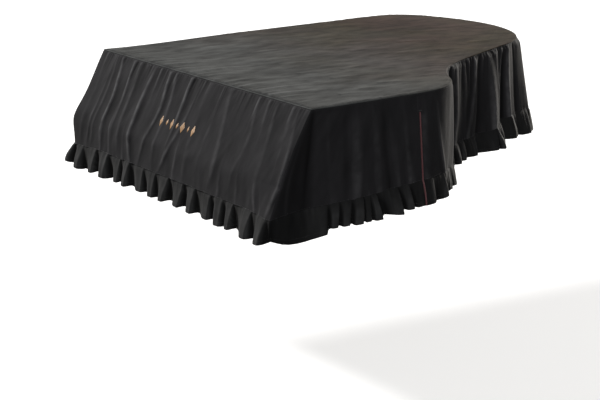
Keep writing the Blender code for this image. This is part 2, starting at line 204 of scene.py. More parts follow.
# ---------------------------------------------------------------- folds of the panels
# A ridge wanders through four places on its way down (top seam, middle, bend, frill's
# seam), has its own width to either side, and a height at each of the four levels.
LEVELS = (0.0, 0.42, 0.72, 1.0)
FRONT_RIDGES = (
    # x at the four levels, width before and behind, heights in mm at the four levels
    (-0.702, -0.688, -0.688, -0.696, 0.020, 0.026, 1.0, 2.0, 3.0, 1.0),
    (-0.634, -0.624, -0.630, -0.646, 0.020, 0.014, 1.5, 3.0, 4.0, 0.5),
    (-0.618, -0.588, -0.600, -0.614, 0.016, 0.014, 3.0, 4.0, 3.5, 0.5),
    (-0.570, -0.518, -0.528, -0.528, 0.022, 0.013, 5.0, 9.0, 6.0, 0.5),
    (-0.468, -0.442, -0.440, -0.432, 0.020, 0.014, 10.0, 6.0, 2.0, 0.0),
    (-0.410, -0.396, -0.388, -0.384, 0.036, 0.020, 4.0, 6.0, 5.0, 0.5),
    (-0.302, -0.300, -0.290, -0.274, 0.032, 0.016, 6.0, 10.0, 10.0, 3.5),
    (-0.256, -0.248, -0.246, -0.246, 0.010, 0.012, 5.0, 0.5, 0.0, 0.0),
    (-0.180, -0.146, -0.178, -0.216, 0.032, 0.014, 9.0, 8.0, 5.0, 0.5),
    (-0.138, -0.092, -0.100, -0.104, 0.034, 0.016, 6.0, 5.5, 3.0, 1.0),
    (-0.018, -0.006, -0.012, -0.020, 0.026, 0.014, 9.0, 7.0, 2.0, 0.0),
    (0.040, 0.042, 0.008, -0.058, 0.022, 0.014, 1.0, 4.0, 5.0, 1.5),
    (0.106, 0.116, 0.136, 0.122, 0.030, 0.034, 1.5, 2.5, 2.5, 0.5),
    (0.196, 0.220, 0.220, 0.216, 0.026, 0.020, 2.0, 2.0, 2.0, 2.0),
    (0.250, 0.306, 0.338, 0.286, 0.044, 0.024, 4.0, 6.0, 7.0, 1.0),
    (0.432, 0.478, 0.458, 0.446, 0.022, 0.019, 3.5, 3.0, 1.5, 0.5),
    (0.506, 0.534, 0.536, 0.534, 0.022, 0.015, 4.0, 1.0, 0.5, 0.5),
    (0.550, 0.594, 0.612, 0.616, 0.036, 0.022, 5.5, 3.0, 2.5, 1.5),
    (0.654, 0.682, 0.690, 0.676, 0.028, 0.024, 5.0, 2.5, 2.0, 1.0),
    (0.682, 0.732, 0.740, 0.716, 0.034, 0.020, 2.0, 6.0, 8.5, 4.0),
    (-0.458, -0.458, -0.456, -0.450, 0.010, 0.014, 0.0, 0.0, 3.5, 3.0),
    (-0.520, -0.520, -0.516, -0.522, 0.010, 0.014, 0.0, 0.0, 2.0, 2.5),
    (-0.340, -0.346, -0.342, -0.336, 0.012, 0.014, 0.0, 0.0, 1.5, 2.5),
    (0.054, 0.054, 0.068, 0.052, 0.012, 0.016, 0.0, 0.0, 2.5, 1.5),
    (0.386, 0.386, 0.384, 0.378, 0.014, 0.018, 0.0, 0.0, 2.0, 2.0),
    (0.486, 0.486, 0.494, 0.498, 0.014, 0.018, 0.0, 0.0, 1.5, 2.0),
    (0.564, 0.580, 0.606, 0.632, 0.010, 0.012, 0.0, 0.0, 1.0, 2.5),
    (0.614, 0.620, 0.644, 0.672, 0.010, 0.012, 0.0, 0.0, 0.5, 2.0),
)
GUSSET_VALLEY = (-0.588, -0.597, -0.612, -0.622)    # y at the four levels
GUSSET_DEPTH = (0.003, 0.024, 0.033, 0.036)
GUSSET_WAY_OUT = 0.200
# painted shade: how much darker the cloth is painted in the gusset behind the front panel's edge
GUSSET_SHADE = 0.45
CHEEK_RIDGES = (
    # y at the four levels, widths, heights; a trough has heights below nothing
    (-0.600, -0.655, -0.690, -0.700, 0.010, 0.012, 0.0, 2.0, 3.0, 3.0),
    (-0.560, -0.560, -0.572, -0.582, 0.020, 0.040, 1.0, 1.5, 2.0, 2.0),
    (-0.528, -0.530, -0.530, -0.526, 0.020, 0.020, 0.5, 1.0, 1.0, 1.0),
    (-0.462, -0.464, -0.468, -0.474, 0.026, 0.022, -1.0, -3.5, -4.5, -3.0),
    (-0.418, -0.422, -0.426, -0.430, 0.018, 0.030, 0.5, 1.0, 1.0, 0.5),
    (-0.350, -0.350, -0.355, -0.360, 0.030, 0.030, 1.0, 2.0, 2.5, 4.0),
    (-0.312, -0.312, -0.305, -0.295, 0.024, 0.020, -1.0, -4.0, -4.0, -5.0),
    (-0.225, -0.225, -0.222, -0.215, 0.020, 0.024, 0.5, 2.0, 3.0, 5.0),
)
REAR_RIDGES = (
    # distance round the edge at the four levels, widths, heights
    (0.515, 0.528, 0.546, 0.575, 0.014, 0.014, 0.5, 2.5, 4.0, 4.0),
    (0.700, 0.702, 0.702, 0.700, 0.045, 0.030, 4.0, 9.0, 11.0, 10.0),
    (0.830, 0.840, 0.850, 0.860, 0.050, 0.050, -2.0, -6.0, -8.0, -9.0),
    (0.985, 0.990, 0.980, 0.960, 0.030, 0.020, -8.0, -8.0, -8.0, -6.0),
    (1.046, 1.052, 1.042, 1.012, 0.035, 0.040, 10.0, 10.0, 10.0, 10.0),
    (1.100, 1.085, 1.075, 1.070, 0.012, 0.014, 4.0, 2.0, 0.0, 0.0),
    (1.130, 1.150, 1.140, 1.130, 0.028, 0.018, 5.0, 4.0, 2.0, 1.0),
    (1.235, 1.215, 1.185, 1.150, 0.025, 0.035, 8.0, 8.0, 7.0, 6.0),
    (1.180, 1.170, 1.160, 1.150, 0.010, 0.012, 5.0, 1.0, 0.0, 0.0),
    (1.270, 1.270, 1.265, 1.250, 0.030, 0.045, -3.0, -9.0, -12.0, -12.0),
    (1.300, 1.290, 1.285, 1.280, 0.010, 0.010, 5.0, 1.0, 0.0, 0.0),
    (1.350, 1.356, 1.358, 1.355, 0.060, 0.078, 8.0, 22.0, 29.0, 31.0),
    (1.405, 1.410, 1.420, 1.420, 0.012, 0.014, 5.0, 2.0, 0.0, 0.0),
    (1.475, 1.435, 1.415, 1.405, 0.014, 0.020, 8.0, 5.0, 3.0, 2.0),
    (1.475, 1.470, 1.465, 1.460, 0.030, 0.026, -3.0, -8.0, -10.0, -10.0),
    (1.522, 1.512, 1.512, 1.514, 0.034, 0.026, 7.0, 11.0, 13.0, 15.0),
    (1.600, 1.595, 1.595, 1.595, 0.026, 0.026, -6.0, -7.0, -8.0, -8.0),
    (1.690, 1.700, 1.700, 1.705, 0.062, 0.050, 11.0, 15.0, 18.0, 20.0),
    (1.780, 1.775, 1.780, 1.795, 0.016, 0.024, 7.0, 7.0, 7.0, 6.0),
    (1.870, 1.872, 1.880, 1.885, 0.020, 0.030, 5.0, 9.0, 11.0, 13.0),
    (1.950, 1.952, 1.945, 1.940, 0.014, 0.022, 6.0, 5.0, 5.0, 6.0),
    (2.020, 2.015, 2.018, 2.025, 0.020, 0.032, 5.0, 9.0, 12.0, 15.0),
    (2.110, 2.115, 2.120, 2.125, 0.014, 0.020, 6.0, 5.0, 4.0, 5.0),
    (2.175, 2.165, 2.155, 2.145, 0.020, 0.030, 5.0, 8.0, 11.0, 13.0),
    (2.260, 2.262, 2.270, 2.275, 0.014, 0.024, 6.0, 6.0, 6.0, 6.0),
    (2.330, 2.325, 2.320, 2.312, 0.020, 0.030, 5.0, 9.0, 12.0, 14.0),
    (2.430, 2.432, 2.438, 2.445, 0.022, 0.032, 5.0, 9.0, 12.0, 14.0),
    (2.520, 2.520, 2.515, 2.510, 0.018, 0.024, 5.0, 6.0, 7.0, 8.0),
)
SPINE_RIDGES = (
    # y at the four levels, widths, heights
    (0.640, 0.642, 0.645, 0.650, 0.024, 0.030, 3.0, 5.0, 6.0, 7.0),
    (0.540, 0.545, 0.552, 0.560, 0.030, 0.040, 3.0, 6.0, 8.0, 10.0),
    (0.430, 0.425, 0.420, 0.420, 0.020, 0.026, 3.0, 3.0, 4.0, 4.0),
    (0.320, 0.318, 0.312, 0.305, 0.034, 0.040, 2.0, 5.0, 7.0, 9.0),
    (0.210, 0.212, 0.218, 0.222, 0.020, 0.030, 3.0, 3.0, 3.0, 4.0),
    (0.090, 0.092, 0.098, 0.105, 0.034, 0.040, 2.0, 6.0, 8.0, 11.0),
    (-0.040, -0.042, -0.045, -0.045, 0.020, 0.026, 3.0, 3.0, 4.0, 4.0),
    (-0.160, -0.158, -0.152, -0.150, 0.032, 0.038, 2.0, 5.0, 7.0, 8.0),
    (-0.290, -0.292, -0.296, -0.300, 0.020, 0.028, 3.0, 3.0, 4.0, 5.0),
    (-0.390, -0.394, -0.400, -0.405, 0.030, 0.036, 2.0, 5.0, 7.0, 9.0),
    (-0.500, -0.502, -0.508, -0.510, 0.020, 0.028, 3.0, 3.0, 4.0, 4.0),
)
REAR_FLARE = (
    # distance round the edge, how far the panel stands out there at the frill's seam
    (0.438, 0.022),
    (0.455, 0.020),
    (0.530, 0.002),
    (0.600, -0.004),
    (0.630, -0.006),
    (0.700, -0.003),
    (1.000, 0.005),
    (1.300, 0.008),
    (1.550, 0.014),
    (1.720, 0.036),
    (1.900, 0.038),
    (2.300, 0.026),
    (2.636, 0.012),
)
CHEEK_FLARE = 0.022
SPINE_FLARE = 0.012
FLARE_REACH = 0.200

HANGING = {
    # panel: share of the drop in which its ridges and its gathers grow, hold of its first
    # and last end, gathers under its seam (pitch, height, reach, seed), slack (height, seed)
    "front": (0.020, 0.020, 0.030, 0.014, (0.0135, 0.0026, 0.034, 11), (0.0011, 21)),
    "cheek": (0.060, 0.020, 0.020, 0.020, (0.0200, 0.0007, 0.020, 43), (0.0013, 41)),
    "rear": (0.075, 0.025, 0.020, 0.060, (0.0120, 0.0030, 0.030, 51), (0.0014, 53)),
    "spine": (0.025, 0.025, 0.060, 0.040, (0.0150, 0.0018, 0.026, 61), (0.0013, 63)),
}
SLACK_GROWS = 0.10          # share of the drop
SLACK_WAVES = (
    # length along the seam, length down the cloth, share of the slack
    (0.060, 0.260, 1.00),
    (0.024, 0.110, 0.42),
    (0.011, 0.030, 0.10),
)
FRONT_LEAN = 0.20           # the front's slack leans over by this in its whole drop
FRONT_LOW_FOLDS = (0.0014, 0.031, 31)       # height, pitch, seed
FRONT_LOW_SPAN = (0.72, 0.15)
BEND_BULGES = (0.0030, 0.075, 33)
BEND_BULGE_REACH = 0.05
SEAM_PROUD = 0.0008         # the front stands this much proud along the frill's seam
SEAM_PROUD_AT = 0.985
SEAM_PROUD_REACH = 0.016
CHEEK_TUCKS = (0.016, 0.0016, 0.022, 45)    # gathers above the frill: pitch, height, reach, seed
CHEEK_TUCKS_SPAN = (0.45, 0.20)
REAR_TUCKS = (0.016, 0.0014, 0.020, 55)
REAR_DENSE_SPAN = (0.80, 0.15)
RIDGE_SHARPNESS = 1.9
FINE_GATHERS = 2.3          # a second, finer ripple: this many times the first one's number
GATHERS_UNEVEN = 0.7        # share by which the gathers' reach varies, over three pitches
FLAT_BEYOND = 20.0          # where 1/cosh is as good as nothing

# ---------------------------------------------------------------- pleats of the frills
# A pleat rises gently from the recess before it to its crest, keeps level for a little,
# and falls steeply into its own recess.
FRONT_PLEATS = (
    # recess at x by the hem, its drift from seam to hem, steep flank, crest out, recess out
    (-0.726, 0.008, 0.022, 0.044, 0.000),
    (-0.637, 0.025, 0.043, 0.033, 0.002),
    (-0.556, -0.007, 0.012, 0.024, -0.011),
    (-0.418, 0.024, 0.046, 0.030, -0.005),
    (-0.351, -0.010, 0.012, 0.017, -0.012),
    (-0.269, -0.004, 0.022, 0.022, -0.007),
    (-0.150, 0.005, 0.026, 0.014, -0.006),
    (-0.058, 0.003, 0.024, 0.016, -0.004),
    (0.015, -0.023, 0.022, 0.017, -0.016),
    (0.120, -0.032, 0.014, 0.012, -0.018),
    (0.226, -0.005, 0.022, 0.017, -0.012),
    (0.335, -0.005, 0.020, 0.011, -0.018),
    (0.440, 0.014, 0.032, 0.021, -0.003),
    (0.483, -0.009, 0.014, 0.019, -0.012),
    (0.622, 0.006, 0.022, 0.030, -0.001),
    (0.742, 0.004, 0.036, 0.026, 0.003),
)
CHEEK_PLEATS = (
    # the same along y
    (-0.540, 0.000, 0.010, 0.014, 0.002),
    (-0.505, -0.008, 0.012, 0.023, 0.006),
    (-0.462, -0.008, 0.010, 0.022, 0.007),
    (-0.418, -0.010, 0.012, 0.026, 0.004),
    (-0.385, 0.000, 0.012, 0.020, 0.010),
    (-0.340, 0.020, 0.012, 0.027, 0.008),
    (-0.248, 0.020, 0.014, 0.030, 0.008),
    (-0.205, 0.020, 0.010, 0.023, 0.008),
)
REAR_PLEATS = (
    # the same round the edge behind the vent
    (0.510, 0.020, 0.030, 0.014, 0.003),
    (0.585, 0.020, 0.014, 0.016, 0.000),
    (0.650, 0.010, 0.014, 0.012, -0.002),
    (0.720, 0.000, 0.016, 0.014, -0.004),
    (0.805, 0.000, 0.020, 0.020, -0.004),
    (0.900, 0.000, 0.020, 0.020, -0.004),
    (0.985, -0.005, 0.012, 0.020, 0.004),
    (1.050, -0.010, 0.010, 0.022, 0.006),
    (1.110, -0.010, 0.010, 0.024, 0.006),
    (1.205, -0.010, 0.010, 0.026, 0.008),
    (1.350, 0.000, 0.010, 0.026, 0.014),
    (1.395, 0.030, 0.026, 0.036, 0.012),
    (1.440, 0.020, 0.010, 0.024, 0.008),
    (1.565, 0.015, 0.012, 0.024, 0.008),
    (1.690, 0.010, 0.016, 0.026, 0.012),
)
PLEAT_LEVEL = 0.020         # length of a crest that keeps level
REAR_LEVEL = 0.007
HIDDEN_PITCH = 0.088        # pleats on the sides that have no rows of their own
CHEEK_HEM = (
    # along y, upright height of the cheek side's frill
    (-0.768, 0.070),
    (-0.745, 0.083),
    (-0.720, 0.094),
    (-0.690, 0.102),
    (-0.660, 0.106),
    (-0.630, 0.107),
    (-0.600, 0.105),
    (-0.545, 0.098),
    (-0.535, 0.078),
    (-0.345, 0.087),
    (-0.335, 0.079),
    (-0.262, 0.092),
    (-0.252, 0.083),
    (-0.162, 0.086),
)
SPINE_CORNER_OUT = 0.044    # how far the hem stands out at the two front corners
CHEEK_CORNER_OUT = 0.004
VENT_OUT = 0.018
UNDERLAP_OUT = 0.015
TAIL_CORNER_OUT = 0.014
CORNER_REACH = 0.050        # how far along the hem that is felt
CHEEK_CORNER_REACH = 0.030
HIDDEN_SHIFT = 0.20         # of the pitch either way, for pleats without rows of their own
HIDDEN_FLANK = (0.014, 0.030)       # and the bounds of their flanks, crests, recesses, drifts
HIDDEN_CREST = (0.024, 0.034)
HIDDEN_RECESS = (-0.004, 0.006)
HIDDEN_DRIFT = (-0.012, 0.012)
END_FLANKS = (0.010, 0.020)
FLANK_AT_SEAM = 0.30        # share of a flank's width that it has at the seam
LEVEL_AT_SEAM = 1.6         # a crest's level is this many times as long there
RISE_SHARE = 0.35           # the least share of a pleat that its rise keeps
OPEN_AT_SEAM = 0.12         # how far a pleat is open at the seam already
PLEAT_GROWTH = 0.75         # power with which it opens downwards
FRILL_ROWS = (
    # shares of the height, closer at the seam and at the hem, where the cloth is turned up
    0.0, 0.02, 0.05, 0.09, 0.14, 0.20, 0.27, 0.34, 0.41, 0.48, 0.55,
    0.62, 0.69, 0.75, 0.80, 0.845, 0.862, 0.90, 0.94, 0.97, 0.99, 1.0,
)
FRILL_HEIGHT = 0.085        # about, for shares of it
FRILL_TURN = 6              # points over which a frill turns a corner, either way
FRILL_COMES_OUT = (0.03, 0.12)
PINCH = 0.0011              # small gathers at its seam, with their two pitches
PINCH_PITCHES = (0.0085, 0.0041)
PINCH_GROWS = 0.10
PINCH_FADES = 0.22
FRILL_RIPPLE = 0.0006
RIPPLE_PITCH = 0.016
RIPPLES_DOWN = 3.0
RIPPLE_GROWS = 0.20
HEM_PROUD = 0.0007          # the turned-up hem stands this much proud
HEM_PROUD_GROWS = 0.012
RECESS_SHORTER = 0.0045     # recesses hang this much shorter than crests
RECESS_SPAN = (-0.012, 0.034)

# ---------------------------------------------------------------- wrinkles of the top
TOP_WRINKLES = (
    # from x, y, to x, y, half width, height in mm
    (-0.690, -0.600, -0.710, -0.340, 0.022, 3.0),
    (-0.620, -0.600, -0.610, -0.400, 0.018, 3.4),
    (-0.550, -0.600, -0.500, -0.440, 0.016, 3.4),
    (-0.460, -0.600, -0.420, -0.440, 0.016, 3.2),
    (-0.380, -0.600, -0.300, -0.380, 0.020, 4.2),
    (-0.330, -0.600, -0.290, -0.460, 0.012, 2.6),
    (-0.270, -0.600, -0.180, -0.360, 0.022, 4.6),
    (-0.200, -0.600, -0.160, -0.470, 0.013, 3.0),
    (-0.140, -0.600, -0.110, -0.440, 0.018, 4.0),
    (-0.060, -0.600, -0.040, -0.300, 0.022, 4.8),
    (-0.010, -0.600, 0.000, -0.460, 0.012, 3.0),
    (0.040, -0.600, 0.050, -0.430, 0.018, 4.2),
    (0.110, -0.600, 0.120, -0.470, 0.013, 3.0),
    (0.180, -0.600, 0.180, -0.380, 0.022, 4.8),
    (0.240, -0.600, 0.240, -0.480, 0.012, 3.0),
    (0.290, -0.600, 0.280, -0.440, 0.018, 4.4),
    (0.345, -0.600, 0.350, -0.480, 0.012, 3.0),
    (0.390, -0.600, 0.400, -0.320, 0.022, 5.2),
    (0.440, -0.600, 0.460, -0.450, 0.013, 3.6),
    (0.480, -0.600, 0.510, -0.350, 0.020, 5.0),
    (0.540, -0.600, 0.560, -0.420, 0.018, 4.2),
    (0.600, -0.600, 0.620, -0.480, 0.014, 3.0),
    (0.650, -0.600, 0.650, -0.440, 0.018, 2.8),
    (-0.500, -0.310, -0.450, -0.060, 0.030, 2.4),
    (-0.280, -0.210, -0.250, 0.010, 0.030, 2.4),
    (-0.100, -0.270, -0.060, -0.020, 0.028, 2.2),
    (0.000, -0.250, 0.050, -0.050, 0.028, 2.6),
    (0.200, -0.300, 0.230, -0.090, 0.028, 2.6),
    (0.240, -0.140, 0.230, 0.050, 0.026, 2.6),
    (0.360, -0.260, 0.390, -0.080, 0.024, 2.2),
    (-0.070, 0.110, -0.040, 0.310, 0.026, 3.0),
    (0.060, 0.120, 0.040, 0.260, 0.020, 2.6),
    (0.090, 0.230, 0.100, 0.380, 0.022, 2.4),
    (-0.280, 0.160, -0.210, 0.370, 0.028, 2.6),
    (-0.430, 0.120, -0.400, 0.340, 0.030, 2.2),
    (-0.120, 0.380, -0.060, 0.560, 0.026, 2.8),
    (0.130, 0.390, 0.160, 0.530, 0.022, 2.8),
    (0.050, 0.600, 0.090, 0.740, 0.022, 2.8),
    (-0.300, 0.560, -0.220, 0.780, 0.028, 2.4),
    (0.610, -0.400, 0.650, -0.240, 0.022, 2.4),
    (0.570, -0.290, 0.630, -0.140, 0.022, 2.2),
    (0.520, -0.180, 0.660, 0.010, 0.022, 2.4),
    (0.530, 0.090, 0.490, -0.050, 0.011, 2.4),
    (0.475, 0.175, 0.440, 0.030, 0.010, 2.6),
    (0.430, 0.215, 0.380, 0.090, 0.009, 2.6),
    (0.405, 0.235, 0.340, 0.140, 0.008, 2.2),
    (-0.740, 0.420, -0.560, 0.340, 0.020, 2.0),
    (-0.740, 0.060, -0.560, 0.030, 0.020, 2.0),
    (-0.740, -0.260, -0.600, -0.240, 0.018, 2.0),
)

WRINKLE_BOW = 0.012
WRINKLE_BEGINS = 0.06       # share of its length in which a wrinkle rises
WRINKLE_FADES = 0.85        # and in which it dies out
WRINKLE_SHARPNESS = 2.2
TOP_SWELLS = (
    # height, length across, length along, start in the random heights, seed
    (0.0016, 0.150, 0.220, 3.0, 71),
    (0.0006, 0.060, 0.090, 9.0, 72),
)
PUCKER = 0.0009             # small puckers along the top's seam, with their two pitches
PUCKER_PITCHES = (0.0150, 0.0071)
PUCKER_REACH = 0.030
PUCKER_REACH_PITCH = 0.05
TOP_LIFT = 0.0012           # the cloth lies this much above the lid on average
TOP_HOLD = 0.008            # and is held down this near to its edge
TAIL_NEARNESS = 0.6         # distances to the rear edge count this much
RIM_PAINTED_HIGHLIGHT = 0.35           # painted highlight: how much of the pale crest colour the rounded rim is given
RELIEF_FULL = 0.005         # height above its surroundings at which the pale crest colour is full: partly rubbed wear, partly painted highlight
TOP_RELIEF_FROM = 0.0018
PANEL_RELIEF = 9            # columns to either side that count as surroundings
FRILL_RELIEF = 12
GUSSET_EDGE = (-0.014, 0.028)       # span of the gusset's shade about its valley
ON_CHEEK = (HALF_WIDTH - 0.045, 0.010)
SMOOTH_PAINTED_LIGHT = 0.30        # painted light: the frill's smooth stretch behind the gusset is painted lighter
SMOOTH_SPAN = (-0.640, -0.560, 0.030)   # y from and to, softness

# ---------------------------------------------------------------- stitches and piping
STITCH_PITCH = 0.0046
STITCH_RADIUS = 0.00032
STITCH_FILL = 0.84          # share of the pitch that a stitch takes
STITCH_BOW = 5.2            # how fast it sinks and thins to its ends
STITCH_TAPER = 2.6
STITCH_RINGS = (-0.50, -0.34, 0.0, 0.34, 0.50)
STITCH_SIDES = (45.0, 135.0, 225.0, 315.0)
STITCH_MAP = (0.0004, 0.001)    # steps of its map, round the thread and along it
PIPING_RADIUS = 0.0025
PIPING_SIDES = 14
PIPING_STEP = 0.0032
PIPING_ENDS = (0.0, 0.0002, 0.0006, 0.0012, 0.0020)     # circles of its rounded ends
PIPING_END_UP = 0.001       # its lower end lies this far above the hem
MERGE = 0.00001
TACK_HALF = (0.0055, 0.0016)    # the bar across the vent's top: half length, half height
TACK_CROWN = 0.0016
TACK_AT = (-0.0024, -0.0005)    # from the cheek panel's edge, less the piping's radius
TACK_DOWN = 0.004

# ---------------------------------------------------------------- ornament
LOZENGES = 7
LOZENGE_FIRST = -0.104      # x of the first and the last one
LOZENGE_LAST = 0.126
LOZENGE_DOWN = 0.478        # share of the front panel's drop
LOZENGE_LARGE = (0.0125, 0.0205)    # half width, half height
LOZENGE_SMALL = (0.0070, 0.0115)
LOZENGE_LIFT = 0.0014
LOZENGE_SUNK = 0.0003
LOZENGE_FLATNESS = 0.4      # power of the crown


# ---------------------------------------------------------------- shaping helpers
def ease(share):
    """0 below 0, 1 above 1, and the S-shaped 3t^2 - 2t^3 between them."""
    share = np.clip(share, 0.0, 1.0)
    return share * share * (3.0 - 2.0 * share)


def ramp(at, start, reach):
    """0 at the start, rising along that S to 1 a reach further on."""
    return ease((at - start) / reach)


def away_from(along, place, reach):
    """0 at a place, rising to 1 at the reach on either side of it."""
    return ease(np.abs(along - place) / reach)


def through(at, knots, values):
    """A smooth curve through a few values: cubic pieces whose slopes at each knot are
    those of the straight line between its neighbours."""
    knots = np.asarray(knots, dtype=float)
    values = np.asarray(values, dtype=float)
    slopes = np.gradient(values, knots)
    piece = np.clip(np.searchsorted(knots, at, side="right") - 1, 0, len(knots) - 2)
    width = knots[piece + 1] - knots[piece]
    t = np.clip((at - knots[piece]) / width, 0.0, 1.0)
    start = (2.0 * t**3 - 3.0 * t**2 + 1.0) * values[piece]
    leave = (t**3 - 2.0 * t**2 + t) * width * slopes[piece]
    end = (3.0 * t**2 - 2.0 * t**3) * values[piece + 1]
    arrive = (t**3 - t**2) * width * slopes[piece + 1]
    return start + leave + end + arrive


def bell(share):
    """1/cosh: 1 at 0 and falling off to either side."""
    return 1.0 / np.cosh(np.clip(share, -FLAT_BEYOND, FLAT_BEYOND))


def uneven(place, seed):
    """Soft unevenness from -1 to 1 along a line: random heights a unit apart, joined by
    S-shaped pieces."""
    table = np.random.default_rng(seed).uniform(-1.0, 1.0, 1024)
    cell = np.floor(place).astype(int)
    blend = ease(place - cell)
    return table[cell % 1024] * (1.0 - blend) + table[(cell + 1) % 1024] * blend


def uneven_sheet(across, down, seed):
    """The same over a surface: random heights on a unit grid, joined both ways."""
    table = np.random.default_rng(seed).uniform(-1.0, 1.0, (256, 256))
    column = np.floor(across).astype(int)
    row = np.floor(down).astype(int)
    right = ease(across - column)
    below = ease(down - row)

    def joined(of_row):
        return (table[of_row % 256, column % 256] * (1.0 - right)
                + table[of_row % 256, (column + 1) % 256] * right)

    return joined(row) * (1.0 - below) + joined(row + 1) * below


def folds(along, down, rows):
    """Height of all ridges: each is its height times 1/cosh of the distance from its
    line, measured in its width before or behind that line."""
    total = np.zeros(np.broadcast(along, down).shape)
    for row in rows:
        line = through(down, LEVELS, row[0:4])
        height = through(down, LEVELS, row[6:10]) * MM
        beside = along - line
        width = np.where(beside < 0.0, row[4], row[5])
        total += height * bell(RIDGE_SHARPNESS * beside / width)
    return total


def gathers(along, fall, pitch, height, reach, seed):
    """Small gathers under a seam: uneven ripples along the seam, with half as high and
    finer ones on them, that die out downwards, each stretch with a reach of its own."""
    ripple = uneven(along / pitch, seed) + 0.5 * uneven(along / pitch * FINE_GATHERS, seed + 1)
    length = reach * (1.0 + GATHERS_UNEVEN * uneven(along / (pitch * 3.0), seed + 2))
    return height * ripple * np.exp(-fall / length)


def slack(along, fall, height, seed):
    """The soft unevenness of hanging cloth: long upright waves, finer ones across."""
    waves = [share * uneven_sheet(along / length, fall / drop, seed + number)
             for number, (length, drop, share) in enumerate(SLACK_WAVES)]
    return height * sum(waves)


def hanging(panel, rows, along, fall, down, ends, lean=0.0, dense=1.0):
    """What all panels of the skirt share: ridges, gathers under the top's seam and slack,
    held flat along that seam.  Also how freely the cloth moves, 0 at the panel's ends."""
    ridges_grow, gathers_grow, first_hold, last_hold, gather, soft = HANGING[panel]
    out = folds(along, down, rows) * ramp(down, 0.0, ridges_grow)
    out += gathers(along, fall, *gather) * ramp(down, 0.0, gathers_grow) * dense
    out += slack(along + lean * down, fall, *soft) * ramp(down, 0.0, SLACK_GROWS)
    free = away_from(along, ends[0], first_hold) * away_from(along, ends[1], last_hold)
    return out, free


# ---------------------------------------------------------------- outline of the top
def edge_stretches():
    """The edge of the top as (start distance, length, start point, heading, curvature),
    from the cheek's front corner round the tail.  The last arc turns the tail into the
    straight spine side: it has what is left of half a circle."""
    stretches = []
    distance = 0.0
    x = HALF_WIDTH
    y = FRONT_Y
    heading = math.radians(90.0)
    for name, size, turn_degrees in EDGE_ROWS:
        turn = math.radians(turn_degrees)
        if name == "spine corner":
            turn = math.radians(270.0) - heading
            size = (-HALF_WIDTH - x) / (math.sin(heading + turn) - math.sin(heading))
        if turn == 0.0:
            stretches.append((distance, size, x, y, heading, 0.0))
            distance += size
            x += size * math.cos(heading)
            y += size * math.sin(heading)
        else:
            bend = math.copysign(1.0 / size, turn)
            stretches.append((distance, size * abs(turn), x, y, heading, bend))
            distance += size * abs(turn)
            x += (math.sin(heading + turn) - math.sin(heading)) / bend
            y -= (math.cos(heading + turn) - math.cos(heading)) / bend
            heading += turn
    return stretches


EDGE = edge_stretches()
EDGE_END = EDGE[-1][0] + EDGE[-1][1]


def edge_at(distance):
    """Points on the top's edge and its outward directions, at each distance round it."""
    distance = np.asarray(distance, dtype=float)
    x = np.zeros(distance.shape)
    y = np.zeros(distance.shape)
    angle = np.zeros(distance.shape)
    swell = sum(size * np.exp(-((distance - at) / reach) ** 2) for at, reach, size in EDGE_SWELL)
    for start, length, start_x, start_y, heading, bend in EDGE:
        here = (distance >= start - 1e-9) & (distance <= start + length + 1e-9)
        along = distance[here] - start
        if bend == 0.0:
            angle[here] = heading
            x[here] = start_x + along * math.cos(heading)
            y[here] = start_y + along * math.sin(heading)
        else:
            turned = heading + along * bend
            angle[here] = turned
            x[here] = start_x + (np.sin(turned) - math.sin(heading)) / bend
            y[here] = start_y - (np.cos(turned) - math.cos(heading)) / bend
    out_x, out_y = np.sin(angle), -np.cos(angle)
    return x + out_x * swell, y + out_y * swell, out_x, out_y


SPINE_CORNER_Y = float(edge_at(np.array([EDGE_END]))[1][0])


def lid_rise(x, y, down=0.0):
    """The lid's rear part stands a few millimetres higher than its front, most along the
    spine side; the cloth takes this up in the upper part of its sides."""
    rear = LID_RISE * ramp(y, *LID_RISE_ALONG)
    far = 1.0 - TAIL_SINK * ramp(y, *TAIL_SINK_ALONG)
    spine = SPINE_RISE * ramp(x, *SPINE_RISE_ACROSS) * ramp(y, *SPINE_RISE_ALONG) * far
    return (rear + spine) * (1.0 - ramp(np.asarray(down), 0.0, RISE_FADES))


# ---------------------------------------------------------------- the panels' surfaces
def throw(down):
    """How far the front panel lies before the top's front edge: the upper slope, less
    the change of slope times a softened ramp that starts at the bend."""
    bent = BEND_SOFT * np.log1p(np.exp((down - BEND_AT) / BEND_SOFT))
    return UPPER_SLOPE * down - (UPPER_SLOPE - LOWER_SLOPE) * bent


def spine_corner_belly(down):
    """How the cloth bellies out above the bend at the spine corner, from 0 to 1."""
    return np.exp(-((down - BEND_AT) / BELLY_REACH) ** 2)


def corner_ear(down):
    """How far the cloth at the top's spine corner is drawn out past the lid: most at the
    top, less down the corner seam."""
    return CORNER_EAR * np.exp(-(down / EAR_FADES) ** 2)


def spine_corner_out(down):
    """How far the spine corner's seam stands out sideways, belly and ear together."""
    return SPINE_BELLY * spine_corner_belly(down) + corner_ear(down)


def front_line(x, down):
    """The front panel without its folds, with the cheek corner's own throw."""
    near = ramp(x, HALF_WIDTH - CORNER_THROW_WIDTH, CORNER_THROW_WIDTH)
    at, added = np.array(CORNER_THROW).T
    belly = FRONT_BELLY * spine_corner_belly(down) * ramp(x, *FRONT_BELLY_ACROSS)
    return FRONT_Y - throw(down) - np.interp(down, at, added) * near - belly


def front_seam_drop(x):
    """The frill's seam along the front, a little lower towards the spine corner."""
    return FRONT_DROP + FRONT_SEAM_DIP * ramp(x, *FRONT_DIP_ACROSS)


